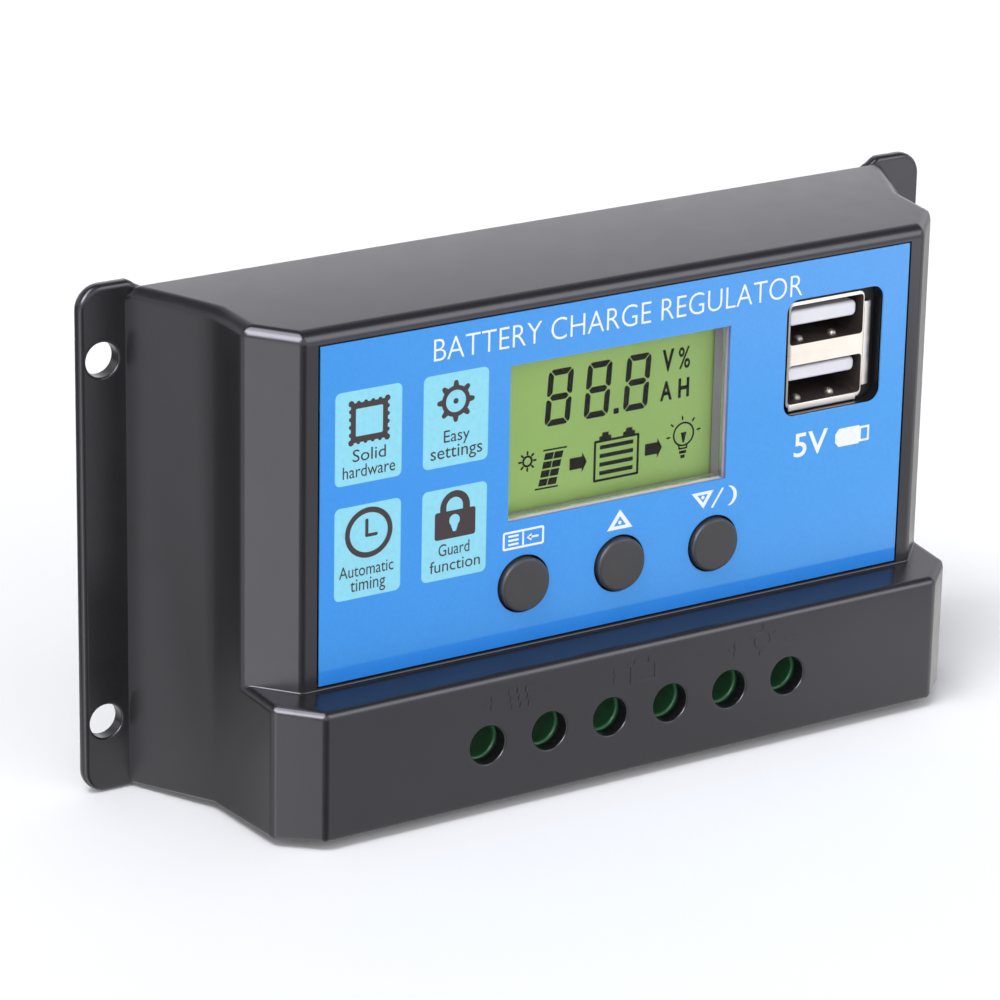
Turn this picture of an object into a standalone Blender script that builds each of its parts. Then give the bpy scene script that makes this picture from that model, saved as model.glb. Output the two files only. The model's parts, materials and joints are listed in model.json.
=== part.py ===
"""Solar charge controller with two stacked USB-A charging sockets, a display, three push buttons
and a six-way screw terminal.

X runs along the width, the front faces -Y, Z is up. The origin is the centre of the back mounting
plane. Sizes are in millimetres; depths are measured forward from the wall plane, so y = -depth.
A "span" is a (low, high) pair along one direction.
"""

import math

import bmesh
import bpy
from mathutils import Matrix, Vector

MM = 0.001


# ---- spans and rows ----------------------------------------------------------------------
def around(centre, half):
    """The span reaching half to either side of centre."""
    return (centre - half, centre + half)


def grow(span, margin):
    """The span widened by margin at both ends; a negative margin narrows it."""
    return (span[0] - margin, span[1] + margin)


def row(centre, count, pitch):
    """Evenly spaced places, centred as a group."""
    return [centre + (i - (count - 1) / 2) * pitch for i in range(count)]


# ---- driving dimensions (mm) -------------------------------------------------------------
WALL = 2.0             # shell wall
FRONT_D = 27.0         # front panel depth
TERM_D = 33.25         # depth of the terminal section
LABEL_X, LABEL_Z = around(0.0, 46.06), (-14.7, 31.0)
WINDOW_X, WINDOW_Z = (-17.7, 16.85), (2.5, 23.9)

USB_X, USB_Z = 34.0, 17.6
USB_OPENING_W, USB_OPENING_H, USB_OPENING_R = 16.0, 16.4, 1.8

BUTTON_X = row(0.0, 3, 15.1)
BUTTON_Z = -6.45
BUTTON_HOLE_R, BUTTON_R = 4.0, 3.7

TERM_X = row(-0.13, 6, 9.6)
TERM_Z = -25.2

PCB_T = 1.6
PCB_BACK = 6.0
PCB_FRONT = PCB_BACK + PCB_T
PART_ON_PCB = PCB_FRONT + 0.3   # back of the parts, just clear of the board

# (x, z) of the screws that hold the back cover and the main board
CASE_SCREWS = [(-47.5, 27.6), (47.5, 27.6), (-47.5, -28.2), (47.5, -28.2)]
PCB_POSTS = [(-46.0, 16.5), (46.4, 14.0), (-46.0, -12.5), (46.4, -12.5)]

# Ends of cutters that run out of the product
PAST_FRONT = 40.0
PAST_BOTTOM = -40.0
THROUGH_PANEL = (20.0, PAST_FRONT)
THROUGH_PCB = (4.0, 9.0)

# ---- scene and materials -----------------------------------------------------------------
for old in list(bpy.data.objects):
    bpy.data.objects.remove(old, do_unlink=True)

parts = bpy.data.collections.new("charge_controller")
cutters = bpy.data.collections.new("cutters")
bpy.context.scene.collection.children.link(parts)
bpy.context.scene.collection.children.link(cutters)


def material(name, colour, roughness, metallic=0.0, alpha=1.0):
    made = bpy.data.materials.new(name)
    made.use_nodes = True
    shader = made.node_tree.nodes["Principled BSDF"]
    shader.inputs["Base Color"].default_value = (*colour, 1.0)
    shader.inputs["Roughness"].default_value = roughness
    shader.inputs["Metallic"].default_value = metallic
    shader.inputs["Alpha"].default_value = alpha
    made.diffuse_color = (*colour, alpha)
    return made


BLACK_ABS = material("black_abs", colour=(0.035, 0.035, 0.038), roughness=0.38)
BUTTON_RUBBER = material("button_rubber", colour=(0.05, 0.05, 0.053), roughness=0.5)
BLUE_LABEL = material("blue_label", colour=(0.07, 0.32, 0.80), roughness=0.35)
CLEAR = material("clear_window", colour=(0.9, 0.95, 0.9), roughness=0.05, alpha=0.3)
LCD_GREEN = material("lcd_green", colour=(0.27, 0.40, 0.12), roughness=0.25)
DIFFUSER = material("diffuser", colour=(0.85, 0.88, 0.80), roughness=0.4)
FRAME_GREY = material("frame_grey", colour=(0.62, 0.62, 0.6), roughness=0.35)
ZEBRA = material("zebra_rubber", colour=(0.25, 0.22, 0.25), roughness=0.8)
PCB_GREEN = material("pcb_green", colour=(0.02, 0.16, 0.06), roughness=0.4)
NICKEL = material("nickel", colour=(0.72, 0.69, 0.63), roughness=0.28, metallic=1.0)
WHITE_PLASTIC = material("white_plastic", colour=(0.85, 0.85, 0.87), roughness=0.35)
GOLD = material("gold_contacts", colour=(0.83, 0.62, 0.25), roughness=0.3, metallic=1.0)
TERMINAL_GREEN = material("terminal_green", colour=(0.03, 0.19, 0.07), roughness=0.45)
ZINC = material("zinc_steel", colour=(0.60, 0.60, 0.58), roughness=0.35, metallic=1.0)
BRASS = material("tinned_brass", colour=(0.66, 0.58, 0.40), roughness=0.35, metallic=1.0)
EPOXY = material("chip_epoxy", colour=(0.02, 0.02, 0.022), roughness=0.5)
CAN = material("capacitor_sleeve", colour=(0.02, 0.03, 0.06), roughness=0.4)
FERRITE = material("ferrite", colour=(0.06, 0.06, 0.065), roughness=0.7)
SWITCH_BLACK = material("switch_black", colour=(0.03, 0.03, 0.03), roughness=0.45)
STEEL = material("screw_steel", colour=(0.5, 0.5, 0.5), roughness=0.3, metallic=1.0)


# ---- solids: those without a material are hidden helpers for the booleans ------------------
def place(name, mesh, mat, location=(0.0, 0.0, 0.0)):
    obj = bpy.data.objects.new(name, mesh)
    obj.location = location
    if mat is None:
        cutters.objects.link(obj)
        obj.hide_render = True
        obj.display_type = "WIRE"
    else:
        parts.objects.link(obj)
        mesh.materials.append(mat)
    return obj


def mesh_from(bm, name):
    mesh = bpy.data.meshes.new(name)
    bm.to_mesh(mesh)
    bm.free()
    return mesh


def smooth(obj, angle=35.0):
    obj.data.shade_smooth()
    obj.data.set_sharp_from_angle(angle=math.radians(angle))
    return obj


def point(x, depth, z):
    """Metres from millimetres and a depth."""
    return Vector((x * MM, -depth * MM, z * MM))


def box(name, x, depth, z, mat=None):
    """A box from its spans, with its origin at its centre."""
    bm = bmesh.new()
    bmesh.ops.create_cube(bm, size=1.0)
    size = [(high - low) * MM for low, high in (x, depth, z)]
    bmesh.ops.scale(bm, vec=size, verts=bm.verts)
    centre = point(*(sum(span) / 2 for span in (x, depth, z)))
    return place(name, mesh_from(bm, name), mat, centre)


def cylinder(name, x, z, depth, radius, mat=None, segments=24, radius_back=None):
    """A cylinder along the depth; radius_back makes it a cone with radius at the front end."""
    low, high = depth
    bm = bmesh.new()
    bmesh.ops.create_cone(
        bm, cap_ends=True, segments=segments,
        radius1=(radius if radius_back is None else radius_back) * MM, radius2=radius * MM,
        depth=(high - low) * MM,
    )
    turn = Matrix.Rotation(math.pi / 2, 3, "X")
    bmesh.ops.rotate(bm, cent=(0, 0, 0), matrix=turn, verts=bm.verts)
    return smooth(place(name, mesh_from(bm, name), mat, point(x, (low + high) / 2, z)))


def prism(name, outline, low, high, along, mat=None):
    """A flat outline as a filled 2D curve, extruded from low to high.

    along "Z" takes (x, depth) points, "X" takes (depth, z) points, "depth" takes (x, z) points.
    """
    curve = bpy.data.curves.new(name, "CURVE")
    curve.dimensions = "2D"
    curve.fill_mode = "BOTH"
    curve.extrude = (high - low) / 2 * MM
    spline = curve.splines.new("POLY")
    spline.points.add(len(outline) - 1)
    for target, (across, up) in zip(spline.points, outline):
        target.co = (across * MM, up * MM, 0, 1)
    spline.use_cyclic_u = True
    helper = bpy.data.objects.new(name + "_outline", curve)
    bpy.context.scene.collection.objects.link(helper)
    graph = bpy.context.evaluated_depsgraph_get()
    mesh = bpy.data.meshes.new_from_object(helper.evaluated_get(graph))
    bpy.data.objects.remove(helper, do_unlink=True)
    bpy.data.curves.remove(curve)

    middle = (low + high) / 2 * MM
    matrices = {
        "Z": ((1, 0, 0, 0), (0, -1, 0, 0), (0, 0, 1, middle), (0, 0, 0, 1)),
        "X": ((0, 0, 1, middle), (-1, 0, 0, 0), (0, 1, 0, 0), (0, 0, 0, 1)),
        "depth": ((1, 0, 0, 0), (0, 0, 1, -middle), (0, 1, 0, 0), (0, 0, 0, 1)),
    }
    mesh.transform(Matrix(matrices[along]))

    # Weld the caps to the sides and merge the flat fill into whole faces
    bm = bmesh.new()
    bm.from_mesh(mesh)
    bmesh.ops.remove_doubles(bm, verts=bm.verts, dist=1e-6)
    bmesh.ops.dissolve_limit(bm, angle_limit=math.radians(0.5), verts=bm.verts, edges=bm.edges)
    bmesh.ops.recalc_face_normals(bm, faces=bm.faces)
    bm.to_mesh(mesh)
    bm.free()
    mesh.name = name
    return place(name, mesh, mat)


# ---- modifiers ---------------------------------------------------------------------------
def add_bevel(obj, width, segments=1, angle=30.0):
    bevel = obj.modifiers.new("rounded_edges", "BEVEL")
    bevel.width = width * MM
    bevel.segments = segments
    bevel.limit_method = "ANGLE"
    bevel.angle_limit = math.radians(angle)


def boolean(obj, other, operation):
    modifier = obj.modifiers.new(f"{operation.lower()}_{other.name}", "BOOLEAN")
    modifier.operation = operation
    modifier.object = other
    modifier.solver = "EXACT"


def cut(obj, other):
    boolean(obj, other, "DIFFERENCE")


def join(obj, other):
    boolean(obj, other, "UNION")


def cut_cross_slot(screw, name, x, z, depth, half_length, half_width):
    cut(screw, box(name + "_a", around(x, half_length), depth, around(z, half_width)))
    cut(screw, box(name + "_b", around(x, half_width), depth, around(z, half_length)))


# ---- outlines ----------------------------------------------------------------------------
def arc(centre_x, centre_y, radius, start, end, steps):
    """Points on a circle arc, angles in degrees."""
    angles = [math.radians(start + (end - start) * k / steps) for k in range(steps + 1)]
    return [(centre_x + radius * math.cos(angle), centre_y + radius * math.sin(angle))
            for angle in angles]


def rounded_rectangle(x, z, radius, steps):
    left, right = grow(x, -radius)
    bottom, top = grow(z, -radius)
    return (
        arc(right, top, radius, 0, 90, steps)
        + arc(left, top, radius, 90, 180, steps)
        + arc(left, bottom, radius, 180, 270, steps)
        + arc(right, bottom, radius, 270, 360, steps)
    )


def mirror_half(half):
    """The -X half of an outline, in reverse order."""
    return [(-x, y) for x, y in reversed(half)]


def inset_half(half, distance):
    """The half outline moved inwards by distance, segment by segment."""
    lines = []
    for (x0, y0), (x1, y1) in zip(half, half[1:] + [(0.0, half[-1][1])]):
        length = math.hypot(x1 - x0, y1 - y0)
        normal_x, normal_y = -(y1 - y0) / length, (x1 - x0) / length
        lines.append((x0 + normal_x * distance, y0 + normal_y * distance, x1 - x0, y1 - y0))
    result = [lines[0][:2]]
    # Each further corner is where one moved line meets the next
    for (ax, ay, adx, ady), (bx, by, bdx, bdy) in zip(lines, lines[1:]):
        t = ((bx - ax) * bdy - (by - ay) * bdx) / (adx * bdy - ady * bdx)
        result.append((ax + adx * t, ay + ady * t))
    return result


# ---- front housing: shell ----------------------------------------------------------------
EDGE_R = 0.8                  # outer edge rounding
SHELL_BACK = -3.0             # the shell is drawn past the wall plane, then trimmed
FLARE_X, FLARE_D = 54.4, 14.25   # front end of the flared side wall
FLARE_SLOPE = 6.75 / 14.25    # the flare's widening per depth towards the wall
# Right half of the plan, (x, depth) from the back to the front
PLAN_HALF = [(FLARE_X + FLARE_SLOPE * (FLARE_D - SHELL_BACK), SHELL_BACK),
             (FLARE_X, FLARE_D), (53.75, 28.4), (48.5, TERM_D)]
# Side profile, (depth, z): the bottom from back to front, the top from front to back
BOTTOM_PROFILE = [(SHELL_BACK, -34.5), (2.0, -34.35), (14.0, -33.95), (28.0, -33.85),
                  (TERM_D, -33.6)]
TOP_PROFILE = [(TERM_D, 32.6), (26.6, 32.95), (21.0, 33.35), (14.0, 33.95), (2.0, 34.2),
               (SHELL_BACK, 34.2)]

LEDGE_Z, LEDGE_SLOPE = -15.3, 0.08   # height at the panel, drop per depth
PANEL_HALF_W = 48.46
CHAMFER_SLOPE = 5.28 / 5.5           # chamfer beside the panel, x per depth
CHAMFER_RUN = 12.0                   # depth the chamfer is carried back, past the side wall
CUTTER_END = 60.0


def front_cutter(name, inset):
    """The space above the ledge and in front of the panel, with the chamfers beside it."""
    panel = FRONT_D - inset
    corner = PANEL_HALF_W - inset * math.tan(math.radians(22.5))
    outer = corner + CHAMFER_RUN * CHAMFER_SLOPE
    half = [(corner, panel), (outer, panel - CHAMFER_RUN), (outer, CUTTER_END)]
    made = prism(name, mirror_half(half) + half, -10.0, CUTTER_END, "Z")
    # Slope the underside to follow the ledge
    for vertex in made.data.vertices:
        if vertex.co.z < 0.0:
            depth = -vertex.co.y / MM
            vertex.co.z = (LEDGE_Z - inset - LEDGE_SLOPE * (depth - FRONT_D)) * MM
    return made


def side_outline(inset):
    front = TERM_D - inset
    return ([(min(depth, front), z + inset) for depth, z in BOTTOM_PROFILE]
            + [(min(depth, front), z - inset) for depth, z in TOP_PROFILE])


def shell_body(name, inset, mat=None):
    """The solid form of the shell, or of its cavity when inset by the wall."""
    half = inset_half(PLAN_HALF, inset) if inset else PLAN_HALF
    body = prism(name, side_outline(inset), -70.0, 70.0, "X", mat)
    plan = prism(name + "_plan", half + mirror_half(half), -60.0, 60.0, "Z")
    boolean(body, plan, "INTERSECT")
    cut(body, front_cutter(name + "_front", inset))
    return body


# ---- front housing: ears, bosses and openings ----------------------------------------------
EAR_X, EAR_Z = 66.75, 34.9    # half width and half height over the ears
EAR_T, EAR_R = 2.0, 3.3       # thickness and corner radius
EAR_HOLE_X, EAR_HOLE_Z, EAR_HOLE_R = 63.5, 24.9, 2.35
# (x, z) of the small fillets where the right ear meets the shell's bottom and top edges
BOTTOM_FILLET = [(57.0, -33.6), (58.2, -34.4), (59.6, -EAR_Z)]
TOP_FILLET = [(59.6, EAR_Z), (58.9, 34.55), (58.3, 34.1), (57.0, 33.5)]

BOSS_BACK, BOSS_R, BOSS_HOLE_R = 2.3, 3.2, 1.45
BOSS_FRONT_TOP, BOSS_FRONT_BOTTOM = 24.0, 30.0
POST_FRONT, POST_R, POST_HOLE_R = 26.0, 2.4, 1.3
SCREW_HOLE_END = 15.5
DRIVER_HOLE_R = 2.66
WIRE_ENTRY_HALF_W, WIRE_ENTRY_D = 3.6, (9.8, 17.6)


def add_ears(housing):
    right = (BOTTOM_FILLET
             + arc(EAR_X - EAR_R, -EAR_Z + EAR_R, EAR_R, 270, 360, 5)
             + arc(EAR_X - EAR_R, EAR_Z - EAR_R, EAR_R, 0, 90, 5)
             + TOP_FILLET)
    for word, outline in (("left", mirror_half(right)), ("right", right)):
        join(housing, prism(f"ear_{word}", outline, 0.0, EAR_T, "depth"))


def add_bosses(housing):
    """Bosses for the case screws and posts for the board screws, then their holes."""
    for i, (x, z) in enumerate(CASE_SCREWS, 1):
        depth = (BOSS_BACK, BOSS_FRONT_TOP if z > 0 else BOSS_FRONT_BOTTOM)
        join(housing, cylinder(f"case_boss_{i}", x, z, depth, BOSS_R, segments=16))
    for i, (x, z) in enumerate(PCB_POSTS, 1):
        depth = (PART_ON_PCB, POST_FRONT)
        join(housing, cylinder(f"pcb_post_{i}", x, z, depth, POST_R, segments=16))
    for name, places, back, radius in (("case_boss_hole", CASE_SCREWS, 1.0, BOSS_HOLE_R),
                                       ("pcb_post_hole", PCB_POSTS, 7.0, POST_HOLE_R)):
        for i, (x, z) in enumerate(places, 1):
            depth = (back, SCREW_HOLE_END)
            cut(housing, cylinder(f"{name}_{i}", x, z, depth, radius, segments=12))


def cut_button_holes(obj, name):
    for x in BUTTON_X:
        cut(obj, cylinder(name, x, BUTTON_Z, THROUGH_PANEL, BUTTON_HOLE_R, segments=32))


def make_usb_opening():
    """The cutter that opens both the housing and the label for the USB socket."""
    outline = rounded_rectangle(around(USB_X, USB_OPENING_W / 2),
                                around(USB_Z, USB_OPENING_H / 2), USB_OPENING_R, steps=4)
    return prism("usb_opening", outline, 23.5, PAST_FRONT, "depth")


def cut_openings(housing, usb_opening):
    for x in (-EAR_HOLE_X, EAR_HOLE_X):
        for z in (-EAR_HOLE_Z, EAR_HOLE_Z):
            cut(housing, cylinder("ear_hole", x, z, (-5, 10), EAR_HOLE_R))
    cut(housing, box("lcd_opening", grow(WINDOW_X, 1.0), THROUGH_PANEL, grow(WINDOW_Z, 1.0)))
    cut(housing, usb_opening)
    cut_button_holes(housing, "button_hole")
    for x in TERM_X:
        cut(housing, cylinder("driver_hole", x, TERM_Z, (29.5, PAST_FRONT), DRIVER_HOLE_R))
    for x in TERM_X:
        cut(housing, box("wire_entry", around(x, WIRE_ENTRY_HALF_W), WIRE_ENTRY_D,
                         (PAST_BOTTOM, -30.5)))


def build_housing(usb_opening):
    housing = shell_body("front_housing", 0.0, BLACK_ABS)
    add_bevel(housing, EDGE_R, segments=2, angle=25.0)
    cut(housing, box("behind_wall", (-90, 90), (-20, 0), (-60, 60)))
    add_ears(housing)
    cut(housing, shell_body("cavity", WALL))
    cut(housing, box("label_recess", grow(LABEL_X, 0.3), (FRONT_D - 0.5, PAST_FRONT),
                     (LABEL_Z[0] - 0.25, LABEL_Z[1] + 0.3)))
    add_bosses(housing)
    cut_openings(housing, usb_opening)
    smooth(housing, 30.0)


# ---- back cover and its screws -----------------------------------------------------------
COVER_X, COVER_Z = around(0.0, 57.0), (-31.6, 31.4)
COVER_T, COVER_R = 2.0, 1.5
COVER_SINK_R, COVER_HOLE_R = 2.9, 1.5
CASE_HEAD_R, CASE_HEAD_BACK_R, CASE_SHANK_R = 2.4, 2.1, 1.1


def build_cover():
    outline = rounded_rectangle(COVER_X, COVER_Z, COVER_R, steps=3)
    cover = prism("back_cover", outline, 0.0, COVER_T, "depth", BLACK_ABS)
    for i, (x, z) in enumerate(CASE_SCREWS, 1):
        cut(cover, cylinder("cover_sink", x, z, (-1.0, 1.2), COVER_SINK_R, segments=20))
        cut(cover, cylinder("cover_hole", x, z, (-1.0, 4.0), COVER_HOLE_R, segments=12))
        screw = cylinder(f"case_screw_{i}", x, z, (0.1, 0.9), CASE_HEAD_R, STEEL, segments=20,
                         radius_back=CASE_HEAD_BACK_R)
        join(screw, cylinder("case_shank", x, z, (0.6, 13.0), CASE_SHANK_R, segments=12))
        cut_cross_slot(screw, "case_slot", x, z, (-0.5, 0.5), half_length=1.3, half_width=0.2)


# ---- label -------------------------------------------------------------------------------
def build_label(usb_opening):
    label = box("front_label", LABEL_X, (FRONT_D - 0.2, FRONT_D + 0.05), LABEL_Z, BLUE_LABEL)
    cut(label, box("label_window", WINDOW_X, THROUGH_PANEL, WINDOW_Z))
    cut(label, usb_opening)
    cut_button_holes(label, "label_button_hole")


# ---- main board and its screws -----------------------------------------------------------
BOARD_X, BOARD_Z = around(0.0, 50.5), (-30.4, 30.0)
NOTCH_X, NOTCH_Z = 43.4, 23.5   # inner edges of the corner notches
PCB_HOLE_R = 1.4
PCB_HEAD_R, PCB_HEAD_BACK_R, PCB_SHANK_R = 2.2, 1.8, 1.0


def build_board():
    board = box("main_pcb", BOARD_X, (PCB_BACK, PCB_FRONT), BOARD_Z, PCB_GREEN)
    for x_span in ((-60.0, -NOTCH_X), (NOTCH_X, 60.0)):
        for z_span in ((-40.0, -NOTCH_Z), (NOTCH_Z, 40.0)):
            cut(board, box("board_notch", x_span, THROUGH_PCB, z_span))
    for i, (x, z) in enumerate(PCB_POSTS, 1):
        cut(board, cylinder("pcb_hole", x, z, THROUGH_PCB, PCB_HOLE_R, segments=12))
        screw = cylinder(f"pcb_screw_{i}", x, z, (4.0, 5.7), PCB_HEAD_R, STEEL, segments=16,
                         radius_back=PCB_HEAD_BACK_R)
        join(screw, cylinder("pcb_shank", x, z, (5.0, 13.5), PCB_SHANK_R, segments=12))
        cut(screw, box("pcb_slot", around(x, 1.5), (3.0, 4.6), around(z, 0.25)))


# ---- display stack -----------------------------------------------------------------------
FRAME_X, FRAME_Z = grow(WINDOW_X, 2.7), grow(WINDOW_Z, 3.1)
GLASS_X, GLASS_Z = grow(WINDOW_X, 1.2), grow(WINDOW_Z, 1.0)
DISPLAY_BOARD_BACK = 15.1
HEADER_Z = 19.25
HEADER_HALF_W, HEADER_HALF_H = 10.2, 1.25
PIN_X = row(0.0, 8, 2.54)
PIN_HALF = 0.32


def build_lcd_frame():
    frame = box("lcd_frame", FRAME_X, (17.0, 24.7), FRAME_Z, FRAME_GREY)
    join(frame, box("frame_collar", grow(WINDOW_X, 0.7), (24.0, 26.5), grow(WINDOW_Z, 0.7)))
    cut(frame, box("frame_pocket", grow(WINDOW_X, 1.5), (10.0, 24.2), grow(WINDOW_Z, 1.3)))
    cut(frame, box("frame_window", WINDOW_X, (10.0, PAST_FRONT), WINDOW_Z))


def build_display():
    bottom = WINDOW_Z[0]
    box("lcd_window", grow(WINDOW_X, -0.3), (25.6, 26.4), grow(WINDOW_Z, -0.3), CLEAR)
    box("lcd_glass", GLASS_X, (21.9, 23.9), GLASS_Z, LCD_GREEN)
    backlight = box("lcd_backlight", GLASS_X, (18.6, 21.6), (bottom + 1.8, GLASS_Z[1]), DIFFUSER)
    add_bevel(backlight, 0.3)
    box("lcd_zebra_strip", grow(WINDOW_X, -0.5), (17.0, 21.6), (bottom - 0.7, bottom + 1.2),
        ZEBRA)
    box("display_board", FRAME_X, (DISPLAY_BOARD_BACK, DISPLAY_BOARD_BACK + PCB_T), FRAME_Z,
        PCB_GREEN)


def build_header():
    """The pin header between the main board and the display board."""
    header = box("board_header", around(0.0, HEADER_HALF_W), (PART_ON_PCB, 10.4),
                 around(HEADER_Z, HEADER_HALF_H), SWITCH_BLACK)
    for x in PIN_X:
        join(header, box("header_pin", around(x, PIN_HALF), (9.5, 14.8),
                         around(HEADER_Z, PIN_HALF)))


# ---- buttons: cap in front of a long-stem switch -----------------------------------------
CAP_FRONT, CAP_BACK = 27.85, 23.2
FLANGE_R, FLANGE_T = 4.6, 1.4
SWITCH_HALF, SWITCH_FRONT = 3.0, 11.4
SWITCH_BORE_R, PLUNGER_R = 2.1, 1.7


def build_button(word, x):
    cap = cylinder(f"button_cap_{word}", x, BUTTON_Z, (CAP_BACK + 0.8, CAP_FRONT), BUTTON_R,
                   BUTTON_RUBBER, segments=32)
    add_bevel(cap, 0.35, angle=40.0)
    join(cap, cylinder("cap_flange", x, BUTTON_Z, (CAP_BACK, CAP_BACK + FLANGE_T), FLANGE_R,
                       segments=32))
    switch = box(f"switch_body_{word}", around(x, SWITCH_HALF), (PART_ON_PCB, SWITCH_FRONT),
                 around(BUTTON_Z, SWITCH_HALF), SWITCH_BLACK)
    cut(switch, cylinder("switch_bore", x, BUTTON_Z, (9.3, 15.0), SWITCH_BORE_R, segments=20))
    cylinder(f"switch_plunger_{word}", x, BUTTON_Z, (10.2, 22.9), PLUNGER_R, SWITCH_BLACK,
             segments=20)


# ---- stacked USB socket ------------------------------------------------------------------
USB_W, USB_H, USB_FRONT = 13.2, 15.6, 25.5
PORT_PITCH, PORT_W, PORT_H = 7.8, 12.4, 5.5
TONGUE_HALF_W = 5.6
COMB_HALF_W = 4.2
FINGER_X, FINGER_HALF_W = (-3.5, -1.0, 1.0, 3.5), 0.5   # places from the socket's centre


def build_usb_socket():
    socket_x, socket_z = around(USB_X, USB_W / 2), around(USB_Z, USB_H / 2)
    shell = box("usb_shell", socket_x, (PART_ON_PCB + 2.2, USB_FRONT), socket_z, NICKEL)
    add_bevel(shell, 0.35, angle=40.0)
    insulator = box("usb_insulator", grow(socket_x, -0.6), (PART_ON_PCB, PART_ON_PCB + 1.7),
                    grow(socket_z, -0.6), WHITE_PLASTIC)
    for level, word in ((1, "upper"), (-1, "lower")):
        port_z = USB_Z + level * PORT_PITCH / 2
        contact_z = (port_z - 0.55, port_z - 0.15)
        cut(shell, box("usb_port", around(USB_X, PORT_W / 2), (5.0, PAST_FRONT),
                       around(port_z, PORT_H / 2)))
        join(insulator, box("usb_tongue", around(USB_X, TONGUE_HALF_W), (8.8, USB_FRONT - 0.9),
                            (port_z + 0.15, port_z + 2.15)))
        comb = box(f"usb_contacts_{word}", around(USB_X, COMB_HALF_W),
                   (PART_ON_PCB + 2.1, 12.5), contact_z, GOLD)
        for x in FINGER_X:
            join(comb, box("usb_finger", around(USB_X + x, FINGER_HALF_W), (12.0, 22.5),
                           contact_z))


# ---- six-way rising-clamp terminal -------------------------------------------------------
BLOCK_FRONT, BLOCK_Z = 30.75, (-31.1, -18.3)
SHELF_BACK, SHELF_FRONT = 22.4, 23.6   # wall between the clamp bays and the driver wells
BAY_HALF_W, WELL_R, SHELF_HOLE_R = 3.7, 2.85, 1.9
TERM_HEAD_R, TERM_SHANK_R = 2.4, 1.5
CAGE_D, CAGE_HALF_W, CAGE_HALF_H = (9.9, 18.5), 3.3, 3.5
CAGE_WINDOW_D, CAGE_WINDOW_HALF_W, CAGE_HOLE_R = (11.1, 17.3), 2.4, 1.8
CONTACT_HALF_W, CONTACT_Z = 2.0, (-29.3, -19.7)
LEG_HALF_W, LEG_T = 1.5, 1.0


def cut_terminal_way(block, x):
    cut(block, box("clamp_bay", around(x, BAY_HALF_W), (5.0, SHELF_BACK), (PAST_BOTTOM, -19.3)))
    cut(block, cylinder("driver_well", x, TERM_Z, (SHELF_FRONT, PAST_FRONT), WELL_R))
    cut(block, cylinder("shelf_hole", x, TERM_Z, (20.0, 30.0), SHELF_HOLE_R, segments=16))


def build_terminal_screw(i, x):
    screw = cylinder(f"terminal_screw_{i}", x, TERM_Z, (23.9, 26.1), TERM_HEAD_R, ZINC)
    join(screw, cylinder("screw_shank", x, TERM_Z, (17.3, 24.4), TERM_SHANK_R, segments=16))
    cut_cross_slot(screw, "screw_slot", x, TERM_Z, (25.1, 30.0), half_length=1.8,
                   half_width=0.35)


def build_clamp(i, x):
    """The clamp cage and the contact bar that passes through it."""
    cage = box(f"clamp_cage_{i}", around(x, CAGE_HALF_W), CAGE_D, around(TERM_Z, CAGE_HALF_H),
               ZINC)
    cut(cage, box("cage_window", around(x, CAGE_WINDOW_HALF_W), CAGE_WINDOW_D,
                  around(TERM_Z, 9.0)))
    cut(cage, cylinder("cage_hole", x, TERM_Z, (16.5, 30.0), CAGE_HOLE_R, segments=16))
    bar = box(f"terminal_contact_{i}", around(x, CONTACT_HALF_W), (16.0, 17.0), CONTACT_Z, BRASS)
    join(bar, box("contact_leg", around(x, LEG_HALF_W), (PART_ON_PCB, 16.5),
                  (CONTACT_Z[1] - LEG_T, CONTACT_Z[1])))


def build_terminal():
    block = box("terminal_block", grow((TERM_X[0], TERM_X[-1]), 5.0),
                (PART_ON_PCB, BLOCK_FRONT), BLOCK_Z, TERMINAL_GREEN)
    for i, x in enumerate(TERM_X, 1):
        cut_terminal_way(block, x)
        build_terminal_screw(i, x)
        build_clamp(i, x)


# ---- board components --------------------------------------------------------------------
TRANSISTOR_X = (-38.0, -26.5, 26.2, 37.4)
TRANSISTOR_HALF_W = 5.0
# name, x, z, radius, front depth
CAPACITORS = [("capacitor_large", -36.0, 12.5, 5.0, 21.5),
              ("capacitor_small", -26.0, 12.0, 4.0, 18.5)]
INDUCTOR_X, INDUCTOR_Z, INDUCTOR_R, INDUCTOR_CORE_R = -46.0, 4.0, 3.9, 2.6
# name, x span, front depth, z span
CHIPS = [("microcontroller", (-6.0, 6.0), 9.5, (4.0, 14.0)),
         ("regulator_chip", (43.5, 49.5), 9.9, (-1.5, 4.0))]


def build_transistor(i, x):
    width = around(x, TRANSISTOR_HALF_W)
    body = box(f"power_transistor_{i}", width, (PART_ON_PCB, 12.3), (-14.5, -4.5), EPOXY)
    add_bevel(body, 0.25)
    join(body, box("transistor_tab", width, (PART_ON_PCB, 9.2), (-5.0, 0.6)))
    cut(body, cylinder("tab_hole", x, -1.9, (5.0, 15.0), 1.8, segments=16))


def build_inductor():
    """A drum with a ring-shaped groove around its core."""
    x, z = INDUCTOR_X, INDUCTOR_Z
    drum = cylinder("inductor", x, z, (PART_ON_PCB, 13.9), INDUCTOR_R, FERRITE)
    groove = cylinder("inductor_groove", x, z, (9.4, 12.4), 5.0)
    cut(groove, cylinder("inductor_core", x, z, (8.0, 14.0), INDUCTOR_CORE_R))
    cut(drum, groove)


def build_components():
    for i, x in enumerate(TRANSISTOR_X, 1):
        build_transistor(i, x)
    for name, x, z, radius, front in CAPACITORS:
        add_bevel(cylinder(name, x, z, (PART_ON_PCB, front), radius, CAN), 0.4, angle=40.0)
    build_inductor()
    for name, x_span, front, z_span in CHIPS:
        add_bevel(box(name, x_span, (PART_ON_PCB, front), z_span, EPOXY), 0.15)


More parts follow.
